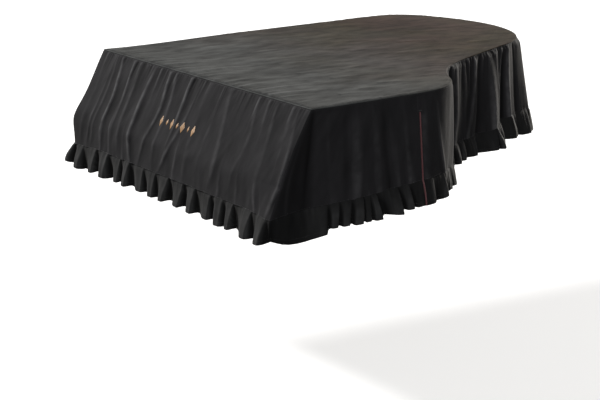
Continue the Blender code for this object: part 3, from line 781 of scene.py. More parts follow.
def front_point(x, down):
    """Front panel: its line and what all panels share, the soft bulges along the bend,
    the small upright folds below it, and the stand of the frill's seam."""
    out, free = hanging("front", FRONT_RIDGES, x, FRONT_DROP * down, down,
                        (-HALF_WIDTH, HALF_WIDTH), FRONT_LEAN)
    height, pitch, seed = FRONT_LOW_FOLDS
    out += height * uneven(x / pitch, seed) * ramp(down, *FRONT_LOW_SPAN)
    height, pitch, seed = BEND_BULGES
    out += height * uneven(x / pitch, seed) * np.exp(-((down - BEND_AT) / BEND_BULGE_REACH) ** 2)
    out += SEAM_PROUD * np.exp(-((down - SEAM_PROUD_AT) / SEAM_PROUD_REACH) ** 2)
    y = front_line(x, down) - out * free
    bulge = spine_corner_out(down) * ramp(x, *SPINE_BELLY_ACROSS)
    return np.stack(np.broadcast_arrays(x - bulge, y, -front_seam_drop(x) * down), axis=-1), out


def gusset(y, first, down):
    """The cloth behind the front panel's edge is drawn in to a valley: a straight slope
    from the edge to the valley's line, and an S-shaped way out again behind it."""
    valley, depth = (through(down, LEVELS, row) for row in (GUSSET_VALLEY, GUSSET_DEPTH))
    inward = np.clip((y - first) / (valley - first), 0.0, 1.0)
    return -depth * np.where(y < valley, inward, 1.0 - ramp(y, valley, GUSSET_WAY_OUT))


def cheek_point(share, down):
    """Cheek panel: flare, the gusset's valley behind the front corner, what all panels
    share, and tucks above the frill towards the vent."""
    first = front_line(np.array(HALF_WIDTH), down) + TURN_BACK + GAP
    last = FRONT_Y + VENT_AT - 0.5 * GAP
    y = first + (last - first) * share
    drop = FRONT_DROP + (CHEEK_DROP - FRONT_DROP) * share
    fall = drop * down
    out, free = hanging("cheek", CHEEK_RIDGES, y, fall, down, (first, last))
    out += gathers(y, drop - fall, *CHEEK_TUCKS) * ramp(share, *CHEEK_TUCKS_SPAN)
    out = out * free + gusset(y, first, down) * ramp(down, 0.0, HANGING["cheek"][0])
    flare = CHEEK_FLARE * down * away_from(y, first, FLARE_REACH)
    z = lid_rise(HALF_WIDTH, y, down) - fall
    return np.stack(np.broadcast_arrays(HALF_WIDTH + flare + out, y, z), axis=-1), out


def rear_point(distance, down):
    """Rear panel: flare and what all panels share, round the shoulder, the bentside and
    the tail, dense gathers past the shoulder, and the edge that lies under the cheek's."""
    drop = np.interp(distance, *np.array(REAR_SEAM).T)
    fall = drop * down
    edge_x, edge_y, out_x, out_y = edge_at(distance)
    out, free = hanging("rear", REAR_RIDGES, distance, fall, down, (VENT_AT, EDGE_END),
                        dense=ramp(distance, *REAR_DENSE_SPAN))
    out += gathers(distance, drop - fall, *REAR_TUCKS)
    given_back, reach = UNDERLAP_STEP
    under = UNDERLAP_BEHIND * (1.0 - ramp(distance, VENT_AT + given_back, reach))
    out = out * free - under * ramp(fall, VENT_TOP, UNDERLAP_OPENS)
    out_all = np.interp(distance, *np.array(REAR_FLARE).T) * down + out
    x = edge_x + out_x * out_all
    y = edge_y + out_y * out_all
    z = lid_rise(edge_x, edge_y, down) - fall
    return np.stack(np.broadcast_arrays(x, y, z), axis=-1), out


def spine_point(share, down):
    """Spine panel, from the tail's corner forward to the front panel."""
    first = SPINE_CORNER_Y - 0.5 * GAP
    last = front_line(np.array(-HALF_WIDTH), down) + TURN_BACK + GAP
    y = first + (last - first) * share
    rear_drop = REAR_SEAM[-1][1]
    fall = (rear_drop + (float(front_seam_drop(np.array(-HALF_WIDTH))) - rear_drop) * share) * down
    out, free = hanging("spine", SPINE_RIDGES, y, fall, down, (first, last))
    out = out * free
    flare = SPINE_FLARE * down * away_from(y, last, FLARE_REACH)
    bulge = spine_corner_out(down) * (1.0 - away_from(y, last, SPINE_BELLY_ALONG))
    z = lid_rise(-HALF_WIDTH, y, down) - fall
    return np.stack(np.broadcast_arrays(-HALF_WIDTH - flare - out - bulge, y, z), axis=-1), out


# ---------------------------------------------------------------- frills
def smooth_outward(line, reach):
    """Level outward directions along a line that runs anticlockwise, turned softly at
    corners: the sideways directions of the line averaged over a reach in points."""
    step = np.gradient(line[:, :2], axis=0)
    out = np.stack([step[:, 1], -step[:, 0]], axis=1)
    out = out / np.linalg.norm(out, axis=1)[:, None]
    padded = np.concatenate([np.repeat(out[:1], reach, 0), out, np.repeat(out[-1:], reach, 0)])
    summed = np.cumsum(np.concatenate([np.zeros((1, 2)), padded]), axis=0)
    window = 2 * reach + 1
    mean = (summed[window:] - summed[:-window]) / window
    return mean / np.linalg.norm(mean, axis=1)[:, None]


def made_up_pleats(first, last, pitch, seed):
    """Rows for a side that has none of its own: uneven spacing and depth."""
    count = max(1, round(abs(last - first) / pitch))
    random = np.random.default_rng(seed)
    rows = []
    for number in range(1, count):
        shift = random.uniform(-HIDDEN_SHIFT, HIDDEN_SHIFT)
        flank = random.uniform(*HIDDEN_FLANK)
        crest = random.uniform(*HIDDEN_CREST)
        recess = random.uniform(*HIDDEN_RECESS)
        drift = random.uniform(*HIDDEN_DRIFT)
        rows.append((first + (last - first) * (number + shift) / count, drift, flank, crest, recess))
    return rows


def pleats(along, down, rows, first, last, first_out, last_out, keeps_level=PLEAT_LEVEL):
    """How far a frill stands out of its seam's plane.

    Between two recesses the cloth rises along an S to the crest's height, keeps level,
    and falls along a second, steeper S whose width grows from seam to hem.  The whole
    grows with the way down the frill.
    """
    first_row = (first, 0.0, END_FLANKS[0], first_out, first_out)
    last_row = (last, 0.0, END_FLANKS[1], last_out, last_out)
    recess, drift, flank, crest, low = np.array((first_row, *rows, last_row)).T
    after = np.clip(np.searchsorted(recess - 0.5 * drift, along), 1, len(recess) - 1)
    before = after - 1
    start = recess[before] - drift[before] * (1.0 - down)
    end = recess[after] - drift[after] * (1.0 - down)
    steep = flank[after] * (FLANK_AT_SEAM + (1.0 - FLANK_AT_SEAM) * down)
    level = keeps_level * (LEVEL_AT_SEAM + (1.0 - LEVEL_AT_SEAM) * down)
    top_end = end - steep
    top_start = np.maximum(top_end - level, start + RISE_SHARE * (top_end - start))
    rise = ramp(along, start, np.maximum(top_start - start, 1e-4))
    fall = 1.0 - ramp(along, top_end, np.maximum(steep, 1e-4))
    rising = low[before] + (crest[after] - low[before]) * rise
    falling = low[after] + (crest[after] - low[after]) * fall
    out = np.where(along < top_end, rising, falling)
    opened = ease(OPEN_AT_SEAM + (1.0 - OPEN_AT_SEAM) * down) ** PLEAT_GROWTH
    return out * opened * np.where(down > 0.0, 1.0, 0.0)


def frill_rows():
    """The shares of the frill's height at which it has rows of points, as a column."""
    return np.array(FRILL_ROWS)[:, None]


def frill_surface(seam, height, out, seed, along):
    """A frill under its seam line.  It starts a few millimetres up behind the panel's
    edge, comes out under it in small gathers, and opens into its pleats.  Recesses hang
    a little shorter than crests, and the turned-up hem stands slightly proud."""
    down = frill_rows()
    outward = smooth_outward(seam, FRILL_TURN)
    broad, fine = (along / pitch for pitch in PINCH_PITCHES)
    pinch = uneven(broad, seed) + 0.6 * uneven(fine, seed + 1)
    small = PINCH * pinch * ramp(down, 0.0, PINCH_GROWS) * np.exp(-down / PINCH_FADES)
    ripple = FRILL_RIPPLE * uneven_sheet(along / RIPPLE_PITCH, down * RIPPLES_DOWN, seed + 2)
    hem = HEM_PROUD * ramp(down, 1.0 - HEM_WIDTH / FRILL_HEIGHT, HEM_PROUD_GROWS)
    behind = (CLOTH + 2.0 * GAP) * (1.0 - ramp(down, *FRILL_COMES_OUT))
    stand = out + small + ripple * ramp(down, 0.0, RIPPLE_GROWS) + hem - behind
    shorter = RECESS_SHORTER * (1.0 - ramp(out, *RECESS_SPAN)) * down
    total = FRILL_TUCK + height
    points = np.empty(stand.shape + (3,))
    points[..., :2] = seam[None, :, :2] + outward[None] * stand[..., None]
    points[..., 2] = seam[None, :, 2] + FRILL_TUCK - total * down + shorter
    return points, stand


def distance_along(line):
    """Distances along a line of points, from its first point."""
    steps = np.linalg.norm(np.diff(line, axis=0), axis=1)
    return np.concatenate([[0.0], np.cumsum(steps)])


# ---------------------------------------------------------------- meshes
def relief_of(out, columns):
    """Which parts of the cloth stand proud of their surroundings, from -1 to 1: the
    height less its mean over some columns to either side, over a full relief."""
    padded = np.pad(out, ((0, 0), (columns, columns)), mode="edge")
    summed = np.cumsum(np.pad(padded, ((0, 0), (1, 0))), axis=1)
    window = 2 * columns + 1
    mean = (summed[:, window:] - summed[:, :-window]) / window
    return np.clip((out - mean) / RELIEF_FULL, -1.0, 1.0)


def four_corners(index):
    """Faces over a grid of numbers: each with the corner above it on the left, the one
    below it, and the two after them."""
    corners = (index[..., :-1, :-1], index[..., 1:, :-1], index[..., 1:, 1:], index[..., :-1, 1:])
    return np.stack(corners, axis=-1).reshape(-1, 4)


def cloth_mesh(name, points, faces, loop_uv, relief=None):
    """A mesh of four-cornered faces, with its own map in metres and the relief, if it
    has one, as an attribute."""
    mesh = bpy.data.meshes.new(name)
    mesh.vertices.add(points.size // 3)
    mesh.vertices.foreach_set("co", points.reshape(-1))
    mesh.loops.add(faces.size)
    mesh.loops.foreach_set("vertex_index", faces.reshape(-1))
    mesh.polygons.add(len(faces))
    mesh.polygons.foreach_set("loop_start", np.arange(0, faces.size, 4))
    mesh.update(calc_edges=True)
    mesh.uv_layers.new(name="cloth_map").data.foreach_set("uv", loop_uv.reshape(-1))
    if relief is not None:
        layer = mesh.attributes.new("relief", "FLOAT", "POINT")
        layer.data.foreach_set("value", relief.reshape(-1))
    mesh.shade_smooth()
    return mesh


def grid_mesh(name, points, uv, relief, around=False):
    """A mesh over a grid of points, rows down and columns along.  Several grids of one
    size may be stacked in front."""
    grids = points.shape[:-1]
    index = np.arange(math.prod(grids)).reshape(grids)
    if around:
        index = np.concatenate([index, index[..., :1]], axis=-1)
        uv = np.concatenate([uv, 2.0 * uv[..., -1:, :] - uv[..., -2:-1, :]], axis=-2)
    corners = four_corners(np.arange(math.prod(uv.shape[:-1])).reshape(uv.shape[:-1]))
    return cloth_mesh(name, points.reshape(-1, 3), four_corners(index),
                      uv.reshape(-1, 2)[corners.reshape(-1)], np.broadcast_to(relief, grids).copy())


def map_in_metres(points):
    """A flat map of a grid: distance along the middle row, distance down each column."""
    middle = distance_along(points[points.shape[0] // 2])
    steps = np.linalg.norm(np.diff(points, axis=0), axis=2).mean(axis=1)
    down = np.concatenate([[0.0], np.cumsum(steps)])
    return np.stack(np.broadcast_arrays(middle[None, :], -down[:, None]), axis=-1)


def add_object(name, data):
    """A new object in the scene."""
    made = bpy.data.objects.new(name, data)
    bpy.context.scene.collection.objects.link(made)
    return made


def place(name, mesh, materials, slot, nodes=()):
    """Puts a finished mesh into the scene and hangs it on the frame."""
    for material in materials:
        mesh.materials.append(material)
    piece = add_object(name, mesh)
    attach(piece, "root")
    if nodes:
        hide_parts(*nodes)
    return piece


def thicken(piece, thickness):
    """Gives a sheet its thickness on the inner side, with the lining's own material."""
    solid = piece.modifiers.new("cloth thickness", "SOLIDIFY")
    solid.thickness = thickness
    solid.offset = -1.0
    solid.use_even_offset = False
    solid.material_offset = 1
    solid.material_offset_rim = 0


def feed(tree, socket, value):
    """Links a socket to another's output, or sets it to an even value of its own.  A
    colour comes as three numbers."""
    if isinstance(value, bpy.types.NodeSocket):
        tree.links.new(value, socket)
    elif socket.type == "RGBA":
        socket.default_value = (*value, 1.0)
    else:
        socket.default_value = value


# ---------------------------------------------------------------- fabric effects
SOCKET = "NodeSocket"
CLOTH_THREADS = 900.0       # in a metre
BACK_THREADS = 520.0
FLECKS = 620.0
LINT_CELLS = 55.0
LINT_BARE = 0.82            # share of the cells without a speck
WEAVE_DEPTH = 0.00016
BACK_WEAVE_DEPTH = 0.00025
SATIN_DEPTH = 0.00022
NAP_DEPTH = 0.00012
DEEP_SHADE = 0.20           # painted shade: how dark the troughs are painted, against the dark lie of the nap
LINT_GREY = (0.160, 0.155, 0.150)
PINKER = (0.68, 0.43, 0.36)     # the two tints of the painted warm light
YELLOWER = (0.62, 0.48, 0.31)


def add_node(tree, kind, **settings):
    """A node of a tree, with its settings; inputs are given as in_<name or number>."""
    new = tree.nodes.new(kind)
    for key, value in settings.items():
        if key.startswith("in_"):
            name = key[3:]
            feed(tree, new.inputs[int(name) if name.isdigit() else name.replace("_", " ")], value)
        else:
            setattr(new, key, value)
    return new


def arithmetic(tree, operation, *values):
    """A Math node's result."""
    made = add_node(tree, "ShaderNodeMath", operation=operation)
    for socket, value in zip(made.inputs, values):
        feed(tree, socket, value)
    return made.outputs[0]


def vector_maths(tree, operation, **inputs):
    """A Vector Math node's result."""
    return add_node(tree, "ShaderNodeVectorMath", operation=operation, **inputs).outputs[0]


def spread(tree, value, low, high, new_low, new_high):
    """A value carried from one span to another and kept inside it."""
    return add_node(tree, "ShaderNodeMapRange", in_0=value, in_1=low, in_2=high,
                    in_3=new_low, in_4=new_high).outputs[0]


def noise(tree, where, scale, detail=2.0, roughness=0.5):
    """A Noise Texture node."""
    return add_node(tree, "ShaderNodeTexNoise", in_Vector=where, in_Scale=scale, in_Detail=detail,
                    in_Roughness=roughness)


def effect(name, inputs, outputs):
    """An empty node group with named inputs and outputs, each a name and a kind of
    socket, an input also with its usual value."""
    group = bpy.data.node_groups.new(name, "ShaderNodeTree")
    for label, kind, *usual in inputs:
        socket = group.interface.new_socket(name=label, in_out="INPUT", socket_type=SOCKET + kind)
        if usual:
            socket.default_value = usual[0]
    for label, kind in outputs:
        group.interface.new_socket(name=label, in_out="OUTPUT", socket_type=SOCKET + kind)
    entry = group.nodes.new("NodeGroupInput")
    leave = group.nodes.new("NodeGroupOutput")
    return group, entry.outputs, leave.inputs


def make_twill():
    """Twill: slanting ribs, a sine across the slant, nicked by the threads across it, a
    second sine along the rib.  Threads is their number in a metre."""
    group, given, out = effect("twill weave", (("Vector", "Vector"), ("Threads", "Float", 900.0)),
                               (("Height", "Float"),))
    x, y, _z = add_node(group, "ShaderNodeSeparateXYZ", in_Vector=given["Vector"]).outputs
    turns = arithmetic(group, "MULTIPLY", given["Threads"], 2.0 * math.pi)
    slant = arithmetic(group, "MULTIPLY_ADD", y, 0.7, x)
    back = arithmetic(group, "MULTIPLY_ADD", y, 1.3, arithmetic(group, "MULTIPLY", x, -1.0))
    rib = arithmetic(group, "SINE", arithmetic(group, "MULTIPLY", slant, turns))
    nick = arithmetic(group, "SINE", arithmetic(group, "MULTIPLY", back, turns))
    both = arithmetic(group, "MULTIPLY_ADD", nick, 0.35, rib)
    feed(group, out["Height"], spread(group, both, -1.35, 1.35, 0.0, 1.0))
    return group


def make_nap():
    """Brushed nap: where the fine pile lies one way or the other.  Two noises, the
    broad one in upright patches, the fine one in short flecks."""
    group, given, out = effect("brushed nap", (("Vector", "Vector"), ("Patch Size", "Float", 0.09)),
                               (("Lie", "Float"), ("Fleck", "Float")))
    stretched = vector_maths(group, "MULTIPLY", in_0=given["Vector"], in_1=(1.0, 0.45, 1.0))
    scale = arithmetic(group, "DIVIDE", 1.0, given["Patch Size"])
    broad = noise(group, stretched, scale, 3.0, 0.55)
    fine = noise(group, stretched, FLECKS, 2.0, 0.6)
    for label, made in (("Lie", broad), ("Fleck", fine)):
        feed(group, out[label], spread(group, made.outputs[0], 0.30, 0.70, 0.0, 1.0))
    return group


def make_lint():
    """Lint: small pale specks and short hairs left on dark cloth, here and there: the
    middles of a few cells of a slightly bent Voronoi pattern."""
    group, given, out = effect("lint", (("Vector", "Vector"), ("Speck Size", "Float", 0.0006)),
                               (("Mask", "Float"),))
    bent = noise(group, given["Vector"], 90.0).outputs["Color"]
    shifted = vector_maths(group, "MULTIPLY_ADD", in_0=bent, in_1=(0.006, 0.0, 0.0),
                           in_2=given["Vector"])
    cells = add_node(group, "ShaderNodeTexVoronoi", in_Vector=shifted, in_Scale=LINT_CELLS).outputs
    near = arithmetic(group, "DIVIDE", cells["Distance"], LINT_CELLS)
    speck = spread(group, arithmetic(group, "DIVIDE", near, given["Speck Size"]), 0.6, 1.4, 1.0, 0.0)
    chance = add_node(group, "ShaderNodeSeparateColor", in_Color=cells["Color"]).outputs[0]
    some = arithmetic(group, "GREATER_THAN", chance, LINT_BARE)
    feed(group, out["Mask"], arithmetic(group, "MULTIPLY", speck, some))
    return group


def make_rub_and_fold_shade():
    """Rubbed folds with painted shade: pale where the cloth stands proud, partly rubbed
    wear and partly painted highlight, and painted shade where it lies back, from the
    relief that the piece carries."""
    group, given, out = effect("rubbed folds and painted shade", (("Relief", "Float", 0.0), ("Vector", "Vector")),
                               (("Proud", "Float"), ("Painted Shade", "Float")))
    worn = spread(group, noise(group, given["Vector"], 26.0, 3.0).outputs[0], 0.35, 0.65, 0.45, 1.0)
    proud = spread(group, given["Relief"], 0.05, 0.90, 0.0, 1.0)
    feed(group, out["Proud"], arithmetic(group, "MULTIPLY", proud, worn))
    feed(group, out["Painted Shade"], spread(group, given["Relief"], -0.05, -0.90, 0.0, 1.0))
    return group


TWILL = make_twill()
NAP = make_nap()
LINT = make_lint()
RUB_AND_FOLD_SHADE = make_rub_and_fold_shade()


def use(tree, group, **inputs):
    """An effect placed in a material with values of its own."""
    placed = add_node(tree, "ShaderNodeGroup", node_tree=group)
    for key, value in inputs.items():
        feed(tree, placed.inputs[key.replace("_", " ")], value)
    return placed.outputs


def blend_colour(tree, share, first, second, kind="MIX"):
    """Two colours mixed by a share."""
    mixed = add_node(tree, "ShaderNodeMix", data_type="RGBA", blend_type=kind)
    for number, value in ((0, share), (6, first), (7, second)):
        feed(tree, mixed.inputs[number], value)
    return mixed.outputs[2]


def lightened(tree, colour, value, low, high):
    """A colour made darker or lighter: times low where the value is 0, high where it is 1."""
    return vector_maths(tree, "SCALE", in_0=colour, in_Scale=spread(tree, value, 0.0, 1.0, low, high))


def new_finish(name, **shader_values):
    """A material with its shader's own even values set, and its piece's own map."""
    material = bpy.data.materials.new(name)
    material.use_nodes = True
    tree = material.node_tree
    shader = tree.nodes["Principled BSDF"].inputs
    for key, value in shader_values.items():
        feed(tree, shader[key.replace("_", " ")], value)
    own_map = add_node(tree, "ShaderNodeUVMap", uv_map="cloth_map").outputs[0]
    return material, tree, shader, own_map


def finish_with(tree, shader, colour, roughness, height, bump_strength):
    """Feeds a shader its colour, roughness and bump, the height in metres."""
    feed(tree, shader["Base Color"], colour)
    feed(tree, shader["Roughness"], roughness)
    bump = add_node(tree, "ShaderNodeBump", in_Strength=bump_strength, in_Distance=1.0, in_Height=height)
    feed(tree, shader["Normal"], bump.outputs[0])


def make_painted_warm_light():
    """Painted warm light: a warmer tone that grows with y, painted in for the warm light
    from behind the tail, in two cloudy tints, one pinker and one yellower.  Begins and
    Full are the places along y."""
    group, given, out = effect("painted warm light", (("Color", "Color"), ("Begins", "Float", 0.0),
                                            ("Full", "Float", 1.0)), (("Color", "Color"),))
    where = add_node(group, "ShaderNodeTexCoord").outputs["Object"]
    place_y = add_node(group, "ShaderNodeSeparateXYZ", in_Vector=where).outputs["Y"]
    cloudy = noise(group, where, 3.2, 3.0).outputs[0]
    warm_light_share = spread(group, arithmetic(group, "MULTIPLY_ADD", cloudy, 0.7, place_y),
                   given["Begins"], given["Full"], 0.0, 1.0)
    patchy = spread(group, noise(group, where, 2.1).outputs[0], 0.40, 0.60, 0.0, 1.0)
    tint = blend_colour(group, patchy, PINKER, YELLOWER)
    warm = blend_colour(group, 1.0, given["Color"], tint, "MULTIPLY")
    feed(group, out["Color"], blend_colour(group, warm_light_share, given["Color"], warm))
    return group


def brushed_cloth(name, dark, light, rubbed, sheen, gloss, patch, warm_light_span=None):
    """Charcoal brushed twill: dark and light lie of the nap, crests paler by rubbed wear
    and painted highlight, painted shade in the troughs, lint, and the weave under the nap."""
    material, tree, shader, own_map = new_finish(
        name, Sheen_Weight=sheen, Sheen_Roughness=0.42, Sheen_Tint=(1.0, 0.965, 0.92),
        Specular_IOR_Level=gloss, Metallic=0.0)
    relief = add_node(tree, "ShaderNodeAttribute", attribute_name="relief").outputs["Fac"]
    nap = use(tree, NAP, Vector=own_map, Patch_Size=patch)
    rub_and_shade = use(tree, RUB_AND_FOLD_SHADE, Relief=relief, Vector=own_map)
    lint = use(tree, LINT, Vector=own_map)
    twill = use(tree, TWILL, Vector=own_map, Threads=CLOTH_THREADS)
    colour = blend_colour(tree, nap["Lie"], dark, light)
    colour = lightened(tree, colour, nap["Fleck"], 0.84, 1.16)
    # painted shade in the twill's grooves, painted light on its ribs
    colour = lightened(tree, colour, twill["Height"], 0.90, 1.10)
    # crests paler, partly rubbed wear and partly painted highlight; troughs darker with painted shade
    painted_shade = tuple(DEEP_SHADE * part for part in dark)
    for mask, share, tone in ((rub_and_shade["Proud"], 0.75, rubbed), (rub_and_shade["Painted Shade"], 0.85, painted_shade),
                              (lint["Mask"], 0.50, LINT_GREY)):
        colour = blend_colour(tree, arithmetic(tree, "MULTIPLY", mask, share), colour, tone)
    # painted warm light: the top is given a warmer tone towards the tail
    if warm_light_span:
        colour = use(tree, make_painted_warm_light(), Color=colour, Begins=warm_light_span[0], Full=warm_light_span[1])["Color"]
    rough = arithmetic(tree, "MULTIPLY_ADD", rub_and_shade["Proud"], -0.10,
                       spread(tree, nap["Lie"], 0.0, 1.0, 0.94, 0.82))
    height = arithmetic(tree, "MULTIPLY_ADD", twill["Height"], WEAVE_DEPTH,
                        arithmetic(tree, "MULTIPLY", nap["Fleck"], NAP_DEPTH))
    finish_with(tree, shader, colour, rough, height, 0.35)
    return material


def cloth_back():
    """The unbrushed wrong side of the cloth: greyer, plain, with a coarser weave."""
    material, tree, shader, own_map = new_finish(
        "cloth back", Sheen_Weight=0.12, Sheen_Roughness=0.6, Specular_IOR_Level=0.25)
    nap = use(tree, NAP, Vector=own_map, Patch_Size=0.16)
    twill = use(tree, TWILL, Vector=own_map, Threads=BACK_THREADS)
    colour = blend_colour(tree, nap["Lie"], (0.034, 0.034, 0.036), (0.048, 0.048, 0.050))
    # painted shade in the weave's grooves, painted light on its ribs
    colour = lightened(tree, colour, twill["Height"], 0.80, 1.12)
    rough = spread(tree, nap["Lie"], 0.0, 1.0, 0.95, 0.86)
    height = arithmetic(tree, "MULTIPLY", twill["Height"], BACK_WEAVE_DEPTH)
    finish_with(tree, shader, colour, rough, height, 0.4)
    return material


def satin(name, painted_shade, painted_highlight, threads, roughness, sheen, tint):
    """Silky thread or braid: fine threads side by side, a painted highlight colour on
    their backs and a painted shade colour between them, along the piece's own map."""
    material, tree, shader, own_map = new_finish(
        name, Sheen_Weight=sheen, Sheen_Roughness=0.3, Sheen_Tint=tint, Specular_IOR_Level=0.55)
    nap = use(tree, NAP, Vector=own_map, Patch_Size=0.02)
    twill = use(tree, TWILL, Vector=own_map, Threads=threads)
    # painted highlight on the threads' backs, painted shade between them
    colour = blend_colour(tree, spread(tree, twill["Height"], 0.1, 0.9, 0.0, 1.0), painted_shade, painted_highlight)
    colour = lightened(tree, colour, nap["Lie"], 0.82, 1.12)
    rough = spread(tree, twill["Height"], 0.0, 1.0, min(1.0, roughness + 0.18), roughness)
    height = arithmetic(tree, "MULTIPLY", twill["Height"], SATIN_DEPTH)
    finish_with(tree, shader, colour, rough, height, 0.5)
    return material


def pale_floor():
    """Plain matt studio floor with the faintest unevenness."""
    material, tree, shader, _own_map = new_finish(
        "pale floor", Roughness=0.9, Specular_IOR_Level=0.1, Emission_Color=(1.0, 1.0, 1.0),
        Emission_Strength=0.40)
    where = add_node(tree, "ShaderNodeTexCoord").outputs["Object"]
    cloudy = noise(tree, where, 0.4).outputs[0]
    feed(tree, shader["Base Color"], blend_colour(tree, cloudy, (0.90,) * 3, (0.915,) * 3))
    return material


CHARCOAL = brushed_cloth("charcoal brushed cloth", (0.0150, 0.0145, 0.0154),
                         (0.0230, 0.0221, 0.0236), (0.110, 0.108, 0.111), 0.035, 0.10, 0.080)
# the top's cloth: the charcoal cloth painted lighter, with little sheen and gloss, as painted sheen for
# the light the top catches at a grazing view
CHARCOAL_TOP_PAINTED_LIT = brushed_cloth("charcoal top painted lighter", (0.0330, 0.0340, 0.0333),
                             (0.0840, 0.0862, 0.0842), (0.135, 0.138, 0.135), 0.010, 0.03, 0.050,
                             warm_light_span=(0.05, 0.85))
FRILL_DARK = brushed_cloth("charcoal frill cloth", (0.0104, 0.0105, 0.0105),
                           (0.0158, 0.0158, 0.0158), (0.042, 0.042, 0.042), 0.05, 0.14, 0.050)
BACK = cloth_back()
# thread colours given as painted shade between the threads and painted highlight on their backs
SEWING_THREAD = satin("charcoal sewing thread", (0.016, 0.016, 0.017), (0.050, 0.049, 0.050),
                      2600.0, 0.50, 0.15, (1.0, 1.0, 1.0))
RED_SATIN = satin("dark red satin", (0.070, 0.012, 0.015), (0.185, 0.050, 0.054),
                  900.0, 0.28, 0.70, (1.0, 0.78, 0.78))
GOLD_THREAD = satin("gold embroidery thread", (0.20, 0.085, 0.015), (0.52, 0.27, 0.075),
                    1500.0, 0.40, 0.12, (1.0, 0.80, 0.5))


# ---------------------------------------------------------------- making the pieces
def even_steps(first, last, step):
    """Places from first to last, about a step apart."""
    return np.linspace(first, last, max(3, round(abs(last - first) / step) + 1))


def panel_rows(step_share):
    """Shares of a panel's drop: even rows, with closer ones along both seams."""
    inner = even_steps(*ROWS_BETWEEN, step_share)
    return np.concatenate([ROWS_AT_TOP, inner, ROWS_AT_FRILL])[:, None]


def front_panel_points():
    """Front panel, its two side edges turned back round a small arc, because there it
    is sewn to the side panels face to face."""
    turn = np.radians(ROUND_STEPS)
    flat = even_steps(-HALF_WIDTH + TURN_BACK, HALF_WIDTH - TURN_BACK, FRONT_STEP)
    arc = TURN_BACK * np.sin(turn)
    back = TURN_BACK * (1.0 - np.cos(turn))
    x = np.concatenate([flat[0] - arc[::-1], flat, flat[-1] + arc])[None, :]
    behind = np.concatenate([back[::-1], 0.0 * flat, back])[None, :]
    points, out = front_point(x, panel_rows(FRONT_ROWS))
    points = points.copy()
    points[..., 1] += behind
    return points, out


def wrinkles(x, y):
    """Soft wrinkles of the top: each runs along a bowed line, is highest where it begins,
    dies out along it, and falls off as 1/cosh to its sides."""
    total = np.zeros(x.shape)
    for from_x, from_y, to_x, to_y, width, height in TOP_WRINKLES:
        length = math.hypot(to_x - from_x, to_y - from_y)
        way_x = (to_x - from_x) / length
        way_y = (to_y - from_y) / length
        share = ((x - from_x) * way_x + (y - from_y) * way_y) / length
        beside = (y - from_y) * way_x - (x - from_x) * way_y
        bow = WRINKLE_BOW * np.sin(math.pi * np.clip(share, 0.0, 1.0))
        strength = ramp(share, 0.0, WRINKLE_BEGINS) * ramp(share, 1.0, -WRINKLE_FADES)
        total += MM * height * strength * bell(WRINKLE_SHARPNESS * (beside - bow) / width)
    return total


def top_sheet():
    """The flat of the top inside its rounded rim, as x and y: lines ruled from the front
    edge to the edge round the shoulder, the bentside and the tail, cheek side first."""
    place_on_edge = np.linspace(EDGE_ROWS[0][1], EDGE_END, TOP_COLUMNS)
    edge_x, edge_y, out_x, out_y = edge_at(place_on_edge)
    inner = HALF_WIDTH - RIM_ROUND
    front = np.stack([np.linspace(inner, -inner, TOP_COLUMNS),
                      np.full(TOP_COLUMNS, FRONT_Y + RIM_ROUND)], axis=1)
    behind = np.stack([edge_x - RIM_ROUND * out_x, edge_y - RIM_ROUND * out_y], axis=1)
    behind[-1] = (-inner, behind[-1, 1])
    share = np.linspace(0.0, 1.0, TOP_ROWS)[:, None, None]
    flat = front + (behind - front) * share
    across = ramp(flat[..., 0], *SPINE_BELLY_ACROSS)
    along = ramp(flat[..., 1], FRONT_Y + SPINE_BELLY_ALONG, -SPINE_BELLY_ALONG)
    flat[..., 0] -= CORNER_EAR * across * along
    outward = np.stack([out_x, out_y], axis=1)
    return flat, outward


def top_height(flat):
    """How the cloth lies on the lid: wrinkles, broad swells, and puckers that die out
    away from the edge, all held down at the edge itself."""
    x, y = flat[..., 0], flat[..., 1]
    inner = HALF_WIDTH - RIM_ROUND
    to_back = np.linalg.norm(flat - flat[-1], axis=2)
    from_edge = np.minimum.reduce([y - y[0, 0], inner - x, x + inner, TAIL_NEARNESS * to_back])
    height = wrinkles(x, y)
    for size, across, along, start, seed in TOP_SWELLS:
        height += size * uneven_sheet(x / across + start, y / along + start, seed)
    beside = x + y
    broad, fine = (beside / pitch for pitch in PUCKER_PITCHES)
    pucker = uneven(broad, 73) + 0.5 * uneven(fine, 74)
    reach = PUCKER_REACH * (1.0 + 0.6 * uneven(beside / PUCKER_REACH_PITCH, 75))
    height += PUCKER * pucker * np.exp(-from_edge / reach)
    return np.maximum(height + TOP_LIFT, 0.0) * ramp(from_edge, 0.0, TOP_HOLD)


def round_the_sheet(grid):
    """The border of a grid as one closed line: its first row backwards, its first
    column, its last row, and its last column backwards."""
    return np.concatenate([grid[0, ::-1], grid[1:, 0], grid[-1, 1:], grid[-2:0:-1, -1]])


